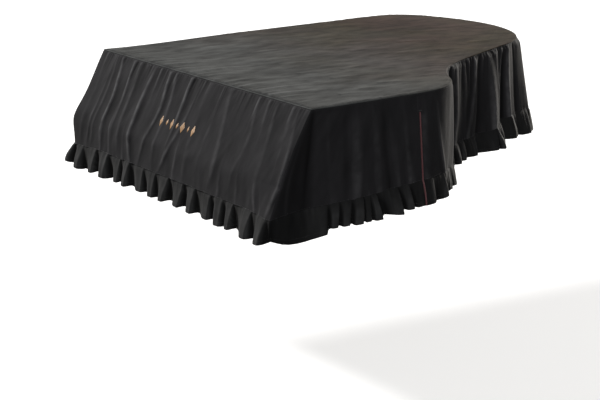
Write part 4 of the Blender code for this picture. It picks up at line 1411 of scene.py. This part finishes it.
def make_top():
    """The top panel: its flat with wrinkles, slack and puckers along the edge, then a
    quarter round over the edge down to the seam.  Also the area inside its rim."""
    flat, behind_out = top_sheet()
    outward = np.zeros(flat.shape)
    outward[0] += (0.0, -1.0)
    outward[:, 0] += (1.0, 0.0)
    outward[:, -1] += (-1.0, 0.0)
    outward[-1] = behind_out
    border_out = round_the_sheet(outward)
    border_out = border_out / np.linalg.norm(border_out, axis=1)[:, None]
    border = round_the_sheet(flat)
    x, y = flat[..., 0], flat[..., 1]
    height = top_height(flat)
    sheet = np.concatenate([flat, (CLOTH + height + lid_rise(x, y))[..., None]], axis=2)
    angle = np.radians(ROUND_STEPS)[:, None, None]
    rim = border + border_out * RIM_ROUND * np.sin(angle)
    rim_z = CLOTH - RIM_ROUND * (1.0 - np.cos(angle)) + lid_rise(rim[..., :1], rim[..., 1:])
    index = np.arange(x.size).reshape(x.shape)
    rings = np.concatenate([round_the_sheet(index)[None, :],
                            x.size + np.arange(rim[..., 0].size).reshape(rim.shape[:2])])
    rings = np.concatenate([rings, rings[:, :1]], axis=1)
    faces = np.concatenate([four_corners(index[:, ::-1])[:, ::-1], four_corners(rings)])
    points = np.concatenate([sheet.reshape(-1, 3), np.concatenate([rim, rim_z], axis=2).reshape(-1, 3)])
    flat_map = points[:, :2].copy()
    flat_map[x.size:] += (border_out * angle * RIM_ROUND).reshape(-1, 2)
    # the top's wrinkle crests take the pale crest colour: partly rubbed wear, partly painted highlight
    relief = np.clip((height - TOP_RELIEF_FROM) / RELIEF_FULL, -0.5, 1.0)
    # the rounded rim is given painted highlight
    relief = np.concatenate([relief.reshape(-1), np.full(rim[..., 0].size, RIM_PAINTED_HIGHLIGHT)])
    mesh = cloth_mesh("top_panel_cloth", points, faces, flat_map[faces.reshape(-1)], relief)
    piece = place("top_panel_cloth", mesh, (CHARCOAL_TOP_PAINTED_LIT, BACK), "cover_cloth", ("top_panel",))
    thicken(piece, CLOTH)
    ahead = np.roll(border, -1, axis=0)
    area = 0.5 * float(np.sum(border[:, 0] * ahead[:, 1] - ahead[:, 0] * border[:, 1]))
    return piece, area


def behind_front(points, down):
    """1 in the triangle between the front panel's edge and the gusset's valley, where
    little light comes in and the cloth is given painted shade, 0 outside it."""
    begins, reach = GUSSET_EDGE
    valley = through(np.minimum(down, 1.0), LEVELS, GUSSET_VALLEY)
    return ramp(points[..., 0], *ON_CHEEK) * (1.0 - ramp(points[..., 1], valley + begins, reach))


def frill_shade(points):
    """The gusset's painted shade on the front frill, less painted light on the smooth
    stretch behind it.
    """
    begins, ends, soft = SMOOTH_SPAN
    smooth = ramp(points[..., 1], begins, soft) * (1.0 - ramp(points[..., 1], ends, soft))
    shade = GUSSET_SHADE * behind_front(points, 1.0 + frill_rows())
    return shade - SMOOTH_PAINTED_LIGHT * smooth * ramp(points[..., 0], *ON_CHEEK)


def make_panel(name, node, points, out, shaded=0.0):
    """A skirt panel as a sheet of doubled cloth."""
    mesh = grid_mesh(name, points, map_in_metres(points), relief_of(out, PANEL_RELIEF) - shaded)
    piece = place(name, mesh, (CHARCOAL, BACK), "cover_cloth", (node,))
    thicken(piece, CLOTH)
    return piece


def normals_of(points):
    """Outward directions over a grid: the way down crossed with the way along."""
    down = np.gradient(points, axis=0)
    along = np.gradient(points, axis=1)
    normal = np.cross(down, along)
    return normal / np.maximum(np.linalg.norm(normal, axis=2), 1e-12)[..., None]


def tuck_under_rim(panel):
    """Lowers a panel's top under the rim's rounded edge and leads its first two rows in
    behind the rim, so that its cut edge doesn't show."""
    panel[..., 2] -= (RIM_ROUND - CLOTH + GAP) * (1.0 - ramp(-panel[..., 2], 0.0, RIM_FADES))
    panel[:2] -= (CLOTH + 2.0 * GAP) * normals_of(panel)[2] * (1.0, 1.0, 0.0)
    panel[0, :, 2] += RIM_ROUND - CLOTH
    panel[1, :, 2] += CLOTH - 2.0 * GAP


def at_pitch(line, normal, pitch):
    """A line of points and its outward directions, resampled at an even pitch."""
    distance = distance_along(line)
    count = max(2, int(distance[-1] / pitch))
    at = (np.arange(count) + 0.5) * distance[-1] / count
    resampled = [np.interp(at, distance, values) for values in (*line.T, *normal.T)]
    return np.stack(resampled[:3], axis=1), np.stack(resampled[3:], axis=1), distance[-1] / count


def stitch_rings(line, normal, pitch):
    """Stitches along a line: each a thread that comes up out of the cloth, lies on it
    and goes down again, thinning at both ends."""
    centre, out, step = at_pitch(line, normal, pitch)
    along = np.gradient(centre, axis=0)
    along /= np.linalg.norm(along, axis=1)[:, None]
    across = np.cross(out, along)
    rings = np.array(STITCH_RINGS)[None, :, None, None]
    sides = np.radians(STITCH_SIDES)[None, None, :, None]
    lift = STITCH_RADIUS * (1.0 - STITCH_BOW * rings ** 2)
    thick = STITCH_RADIUS * (1.0 - STITCH_TAPER * rings ** 2)
    position = centre[:, None, None, :] + along[:, None, None, :] * rings * step * STITCH_FILL
    position = position + out[:, None, None, :] * (lift + thick * np.sin(sides))
    return position + across[:, None, None, :] * thick * np.cos(sides)


def make_stitches(name, lines, slot):
    """All stitches of a piece as one mesh: rings of points, closed at both ends."""
    rings = np.concatenate([stitch_rings(line, out, STITCH_PITCH) for line, out in lines])
    index = np.arange(rings.size // 3).reshape(rings.shape[:3])
    walls = four_corners(np.concatenate([index, index[..., :1]], axis=2))
    faces = np.concatenate([walls, index[:, 0], index[:, -1, ::-1]])
    turn, ring = np.meshgrid(np.arange(len(STITCH_SIDES)) * STITCH_MAP[0],
                             np.arange(len(STITCH_RINGS)) * STITCH_MAP[1])
    uv = np.tile(np.stack([turn, ring], axis=-1).reshape(-1, 2), (len(rings), 1))
    mesh = cloth_mesh(name, rings, faces, uv[faces.reshape(-1)])
    return place(name, mesh, (SEWING_THREAD,), slot)


def grid_row(points, row):
    """One row of a grid with its outward directions, for stitches to follow."""
    return points[row], normals_of(points)[row]


def seam_lines(points):
    """Where a panel's stitches run: under its top seam and above its frill's."""
    return grid_row(points, 2), grid_row(points, -3)


def hem_line(points):
    """Where a frill's hem is sewn."""
    return grid_row(points, int(np.argmin(np.abs(frill_rows() - HEM_ROW))))


def vent_line(points, edge, column):
    """Where the stitches beside the vent run: down a column, from the vent's top, which
    is found on the panel's edge column."""
    first_row = int(np.argmin(np.abs(points[:, edge, 2] + VENT_TOP)))
    return points[first_row:, column], normals_of(points)[first_row:, column]


def resample(line, step):
    """A line of points at even distances of about one step."""
    distance = distance_along(line)
    at = even_steps(0.0, distance[-1], step)
    return np.stack([np.interp(at, distance, part) for part in line.T], axis=1), at


def hem_height(y):
    """Upright height of the frill on the cheek side."""
    return np.interp(y, *np.array(CHEEK_HEM).T)


def front_strip(spine, front, cheek):
    """The frill from the tail's corner down the spine side, round the front and along
    the cheek side to the vent, cut in two at the join on the spine side."""
    lines = [spine[-1][:-1], front[-1], cheek[-1][1:]]
    seam, at = resample(np.concatenate(lines), FRONT_FRILL_STEP)
    first_corner = int(np.argmin(np.abs(at - distance_along(lines[0])[-1])))
    last_corner = int(np.argmin(np.linalg.norm(seam[:, :2] - front[-1][-3, :2], axis=1)))
    down = frill_rows()
    spine_part = slice(0, first_corner)
    front_part = slice(first_corner, last_corner)
    cheek_part = slice(last_corner, len(seam))
    out = np.zeros((len(down), len(seam)))
    rows = made_up_pleats(0.0, at[first_corner], HIDDEN_PITCH, 81)
    out[:, spine_part] = pleats(at[None, spine_part], down, rows, 0.0, at[first_corner],
                                TAIL_CORNER_OUT, SPINE_CORNER_OUT)
    out[:, front_part] = pleats(seam[None, front_part, 0], down, FRONT_PLEATS, -HALF_WIDTH,
                                HALF_WIDTH, SPINE_CORNER_OUT, CHEEK_CORNER_OUT)
    out[:, cheek_part] = pleats(seam[None, cheek_part, 1], down, CHEEK_PLEATS,
                                seam[last_corner, 1], seam[-1, 1], CHEEK_CORNER_OUT, VENT_OUT)
    near = np.exp(-np.abs(at - at[first_corner]) / CORNER_REACH)
    height = np.full(len(seam), FRONT_FRILL)
    height[spine_part] = SPINE_FRILL + (LEFT_FRILL - SPINE_FRILL) * near[spine_part]
    height[front_part] -= (FRONT_FRILL - LEFT_FRILL) * near[front_part]
    corner_blend = np.exp(-np.abs(at - at[last_corner]) / CHEEK_CORNER_REACH)[front_part]
    height[front_part] += (CHEEK_HEM[0][1] - height[front_part]) * corner_blend
    height[cheek_part] = hem_height(seam[cheek_part, 1])
    points, stand = frill_surface(seam, height, out, 91, at[None, :])
    join = int(FRILL_JOIN * first_corner)
    spine_points = points[:, :join + 1].copy()
    spine_points[:, -1, 1] += GAP
    return (spine_points, stand[:, :join + 1]), (points[:, join:], stand[:, join:])


def rear_strip(rear):
    """The frill behind the vent, round the bentside and the tail."""
    seam, at = resample(rear[-1], REAR_FRILL_STEP)
    share = at / at[-1]
    rows_at = np.linspace(0.0, 1.0, rear.shape[1])
    along = distance_along(rear[-1])
    distance = np.interp(share, along / along[-1],
                         VENT_AT - UNDERLAP + rows_at * (EDGE_END - VENT_AT + UNDERLAP))
    hidden = made_up_pleats(REAR_PLEATS[-1][0], EDGE_END, HIDDEN_PITCH, 83)
    out = pleats(distance[None, :], frill_rows(), (*REAR_PLEATS, *hidden),
                 VENT_AT - UNDERLAP, EDGE_END, UNDERLAP_OUT, TAIL_CORNER_OUT, REAR_LEVEL)
    height = np.interp(distance, *np.array(REAR_HEM).T) + seam[:, 2]
    return frill_surface(seam, height, out, 95, at[None, :])


def make_frill(name, node, points, stand, shaded=0.0):
    """A frill of single cloth with its turned-up hem."""
    mesh = grid_mesh(name, points, map_in_metres(points), relief_of(stand, FRILL_RELIEF) - shaded)
    piece = place(name, mesh, (FRILL_DARK, BACK), "frill_cloth", (node,))
    thicken(piece, FRILL_CLOTH)
    return piece


def tube_points(line, radius, sides):
    """A round cord down a line: level circles about it whose radius falls to nothing in
    a half round at both ends."""
    distance = distance_along(line)
    from_end = np.minimum(distance, distance[-1] - distance)
    rounding = np.sqrt(np.clip(1.0 - (1.0 - np.clip(from_end / radius, 0.0, 1.0)) ** 2, 0.0, 1.0))
    turn = np.linspace(0.0, 2.0 * math.pi, sides, endpoint=False)
    circle = np.stack([np.cos(turn), np.sin(turn), 0.0 * turn], axis=1)
    return line[:, None, :] + circle * (radius * rounding)[:, None, None], distance


def close_poles(mesh):
    """Joins the points of each end circle into one."""
    joined = bmesh.new()
    joined.from_mesh(mesh)
    bmesh.ops.remove_doubles(joined, verts=joined.verts, dist=MERGE)
    bmesh.ops.recalc_face_normals(joined, faces=joined.faces)
    joined.to_mesh(mesh)
    joined.free()


def make_piping(cheek, frill):
    """The cord of red piping down the vent, lying just outside the cheek panel's edge,
    round satin over a cord, with its ends tucked in."""
    line = np.concatenate([cheek[:-1, -1], frill[3:, -1]])
    line = line[np.argsort(-line[:, 2])]
    heights = even_steps(-VENT_TOP, line[:, 2].min() + PIPING_END_UP, PIPING_STEP)
    x, y = (np.interp(-heights, -line[:, 2], line[:, axis]) for axis in (0, 1))
    route = np.stack([x + PIPING_RADIUS + GAP, y - PIPING_RADIUS - GAP, heights], axis=1)
    ends = np.array(PIPING_ENDS)[:, None] * (0.0, 0.0, 1.0)
    route = np.concatenate([route[0] - ends, route[1:-1], route[-1] + ends[::-1]])
    points, distance = tube_points(route, PIPING_RADIUS, PIPING_SIDES)
    around = np.linspace(0.0, 2.0 * math.pi * PIPING_RADIUS, PIPING_SIDES, endpoint=False)
    uv = np.stack(np.broadcast_arrays(around[None, :], distance[:, None]), axis=-1)
    mesh = grid_mesh("vent_piping_cord", points, uv, 0.0, around=True)
    close_poles(mesh)
    return place("vent_piping_cord", mesh, (RED_SATIN,), "piping", ("vent_piping",))


def make_bar_tack(cheek):
    """A close satin bar across the top of the vent, crowned, its rim sunk in the cloth."""
    column = cheek[:, -1]
    row = int(np.argmin(np.abs(column[:, 2] + VENT_TOP - TACK_DOWN)))
    centre = column[row] + np.array((PIPING_RADIUS + TACK_AT[0], TACK_AT[1], 0.0))
    a = np.linspace(-1.0, 1.0, 15)[None, :]
    b = np.linspace(-1.0, 1.0, 9)[:, None]
    crown = np.sqrt(np.clip(1.0 - a ** 2, 0.0, 1.0)) * np.sqrt(np.clip(1.0 - b ** 2, 0.0, 1.0))
    along, upright = TACK_HALF[0] * a, TACK_HALF[1] * b
    points = np.stack(np.broadcast_arrays(
        centre[0] + TACK_CROWN * crown, centre[1] + along, centre[2] - upright), axis=-1)
    uv = np.stack(np.broadcast_arrays(along, upright), axis=-1)
    mesh = grid_mesh("vent_bar_tack", points, uv, 0.0)
    return place("vent_bar_tack", mesh, (SEWING_THREAD,), "cover_cloth")


def make_lozenges():
    """A plain row of satin-stitched lozenges on the front panel.  Each is a square grid
    turned on its corner, laid over the panel's folds, crowned, with its rim sunk in."""
    a = np.linspace(-1.0, 1.0, 15)[None, None, :]
    b = np.linspace(-1.0, 1.0, 15)[None, :, None]
    crown = (np.clip(1.0 - a ** 2, 0.0, 1.0) * np.clip(1.0 - b ** 2, 0.0, 1.0)) ** LOZENGE_FLATNESS
    size = np.array([LOZENGE_LARGE if n % 2 == 0 else LOZENGE_SMALL for n in range(LOZENGES)])
    across = 0.5 * (a + b) * size[:, 0, None, None]
    upright = 0.5 * (b - a) * size[:, 1, None, None]
    x = np.linspace(LOZENGE_FIRST, LOZENGE_LAST, LOZENGES)[:, None, None] + across
    points, _out = front_point(x, LOZENGE_DOWN + upright / FRONT_DROP)
    lean = math.atan(UPPER_SLOPE / FRONT_DROP)
    proud = np.array((0.0, -math.cos(lean), math.sin(lean)))
    points = points + proud * (LOZENGE_LIFT * crown - LOZENGE_SUNK)[..., None]
    mesh = grid_mesh("gold_lozenges", points, np.stack([upright, across], axis=-1), 0.0)
    return place("gold_lozenges", mesh, (GOLD_THREAD,), None)


# ---------------------------------------------------------------- the studio
def studio_camera():
    """The camera: placed, turned about the upright, pitched down and rolled a little."""
    yaw, pitch, roll = (math.radians(angle) for angle in CAMERA_TURN)
    ahead = Vector((math.sin(yaw) * math.cos(pitch), math.cos(yaw) * math.cos(pitch), -math.sin(pitch)))
    level_right = Vector((math.cos(yaw), -math.sin(yaw), 0.0))
    level_up = level_right.cross(ahead)
    right = level_right * math.cos(roll) + level_up * math.sin(roll)
    up = level_up * math.cos(roll) - level_right * math.sin(roll)
    lens = bpy.data.cameras.new("studio camera")
    lens.lens = CAMERA_LENS
    lens.sensor_width = SENSOR_WIDTH
    lens.clip_end = CAMERA_SEES
    camera = add_object("studio camera", lens)
    turn = Matrix((right, up, -ahead)).transposed().to_4x4()
    camera.matrix_world = Matrix.Translation(CAMERA_AT) @ turn
    bpy.context.scene.camera = camera


def wide_light(name, azimuth, height, strength, spread_degrees, colour):
    """A distant soft light.  Azimuth 0 shines from the front, 90 from the cheek side."""
    lamp = bpy.data.lights.new(name, "SUN")
    lamp.energy = strength
    lamp.angle = math.radians(spread_degrees)
    lamp.color = colour
    light = add_object(name, lamp)
    a, e = math.radians(azimuth), math.radians(height)
    back = Vector((math.sin(a) * math.cos(e), -math.cos(a) * math.cos(e), math.sin(e)))
    light.location = back * LAMP_DISTANCE
    light.rotation_euler = back.to_track_quat("Z", "Y").to_euler()


def studio():
    """Pale floor, pale room, and the lights."""
    mesh = bpy.data.meshes.new("studio_floor")
    square = ((-1.0, -1.0), (1.0, -1.0), (1.0, 1.0), (-1.0, 1.0))
    corners = [(x * FLOOR_HALF, y * FLOOR_HALF, FLOOR_Z) for x, y in square]
    mesh.from_pydata(corners, [], [(0, 1, 2, 3)])
    mesh.materials.append(pale_floor())
    floor = add_object("studio_floor", mesh)
    floor.visible_diffuse = False
    floor.visible_glossy = False
    room = bpy.data.worlds.new("pale room")
    room.use_nodes = True
    room.node_tree.nodes["Background"].inputs[0].default_value = (0.97, 0.98, 1.0, 1.0)
    room.node_tree.nodes["Background"].inputs[1].default_value = ROOM_LIGHT
    bpy.context.scene.world = room
    bpy.context.scene.view_settings.view_transform = "Standard"
    for lamp in LAMPS:
        wide_light(*lamp)
    studio_camera()


# ---------------------------------------------------------------- the whole cover
studio()
front, front_out = front_panel_points()
cheek, cheek_out = cheek_point(even_steps(0.0, 1.0, CHEEK_STEP)[None, :], panel_rows(FRONT_ROWS))
rear_columns = even_steps(VENT_AT - UNDERLAP, EDGE_END - GAP / 2, REAR_STEP)[None, :]
rear, rear_out = rear_point(rear_columns, panel_rows(REAR_ROWS))
spine, spine_out = spine_point(even_steps(0.0, 1.0, SPINE_STEP)[None, :], panel_rows(REAR_ROWS))
for panel in (front, cheek, rear, spine):
    tuck_under_rim(panel)
(spine_hem, spine_stand), (front_hem, front_stand) = front_strip(spine, front, cheek)
rear_hem, rear_stand = rear_strip(rear)

top, top_area = make_top()
front_panel = make_panel("front_panel_cloth", "front_panel", front, front_out)
# the cheek panel is given painted shade in the gusset behind the front panel's edge
cheek_panel = make_panel("cheek_panel_cloth", "cheek_panel", cheek, cheek_out,
                         GUSSET_SHADE * behind_front(cheek, panel_rows(FRONT_ROWS)))
rear_panel = make_panel("rear_panel_cloth", "rear_panel", rear, rear_out)
spine_panel = make_panel("spine_panel_cloth", "spine_panel", spine, spine_out)
# the front frill is given the gusset's painted shade and a painted lighter stretch behind it
front_frill = make_frill("front_frill_cloth", "front_frill", front_hem, front_stand,
                         frill_shade(front_hem))
spine_frill = make_frill("spine_frill_cloth", "spine_frill", spine_hem, spine_stand)
rear_frill = make_frill("rear_frill_cloth", "rear_frill", rear_hem, rear_stand)
make_piping(cheek, front_hem)
make_bar_tack(cheek)
lozenges = make_lozenges()

front_thread = make_stitches("front_panel_stitches", seam_lines(front), "cover_cloth")
cheek_thread = make_stitches("cheek_panel_stitches", (*seam_lines(cheek), vent_line(cheek, -1, -3)),
                             "cover_cloth")
rear_thread = make_stitches("rear_panel_stitches", (*seam_lines(rear), vent_line(rear, 0, 2)),
                            "cover_cloth")
spine_thread = make_stitches("spine_panel_stitches", seam_lines(spine), "cover_cloth")
front_hem_thread = make_stitches("front_frill_stitches", (hem_line(front_hem),), "frill_cloth")
spine_hem_thread = make_stitches("spine_frill_stitches", (hem_line(spine_hem),), "frill_cloth")
rear_hem_thread = make_stitches("rear_frill_stitches", (hem_line(rear_hem),), "frill_cloth")
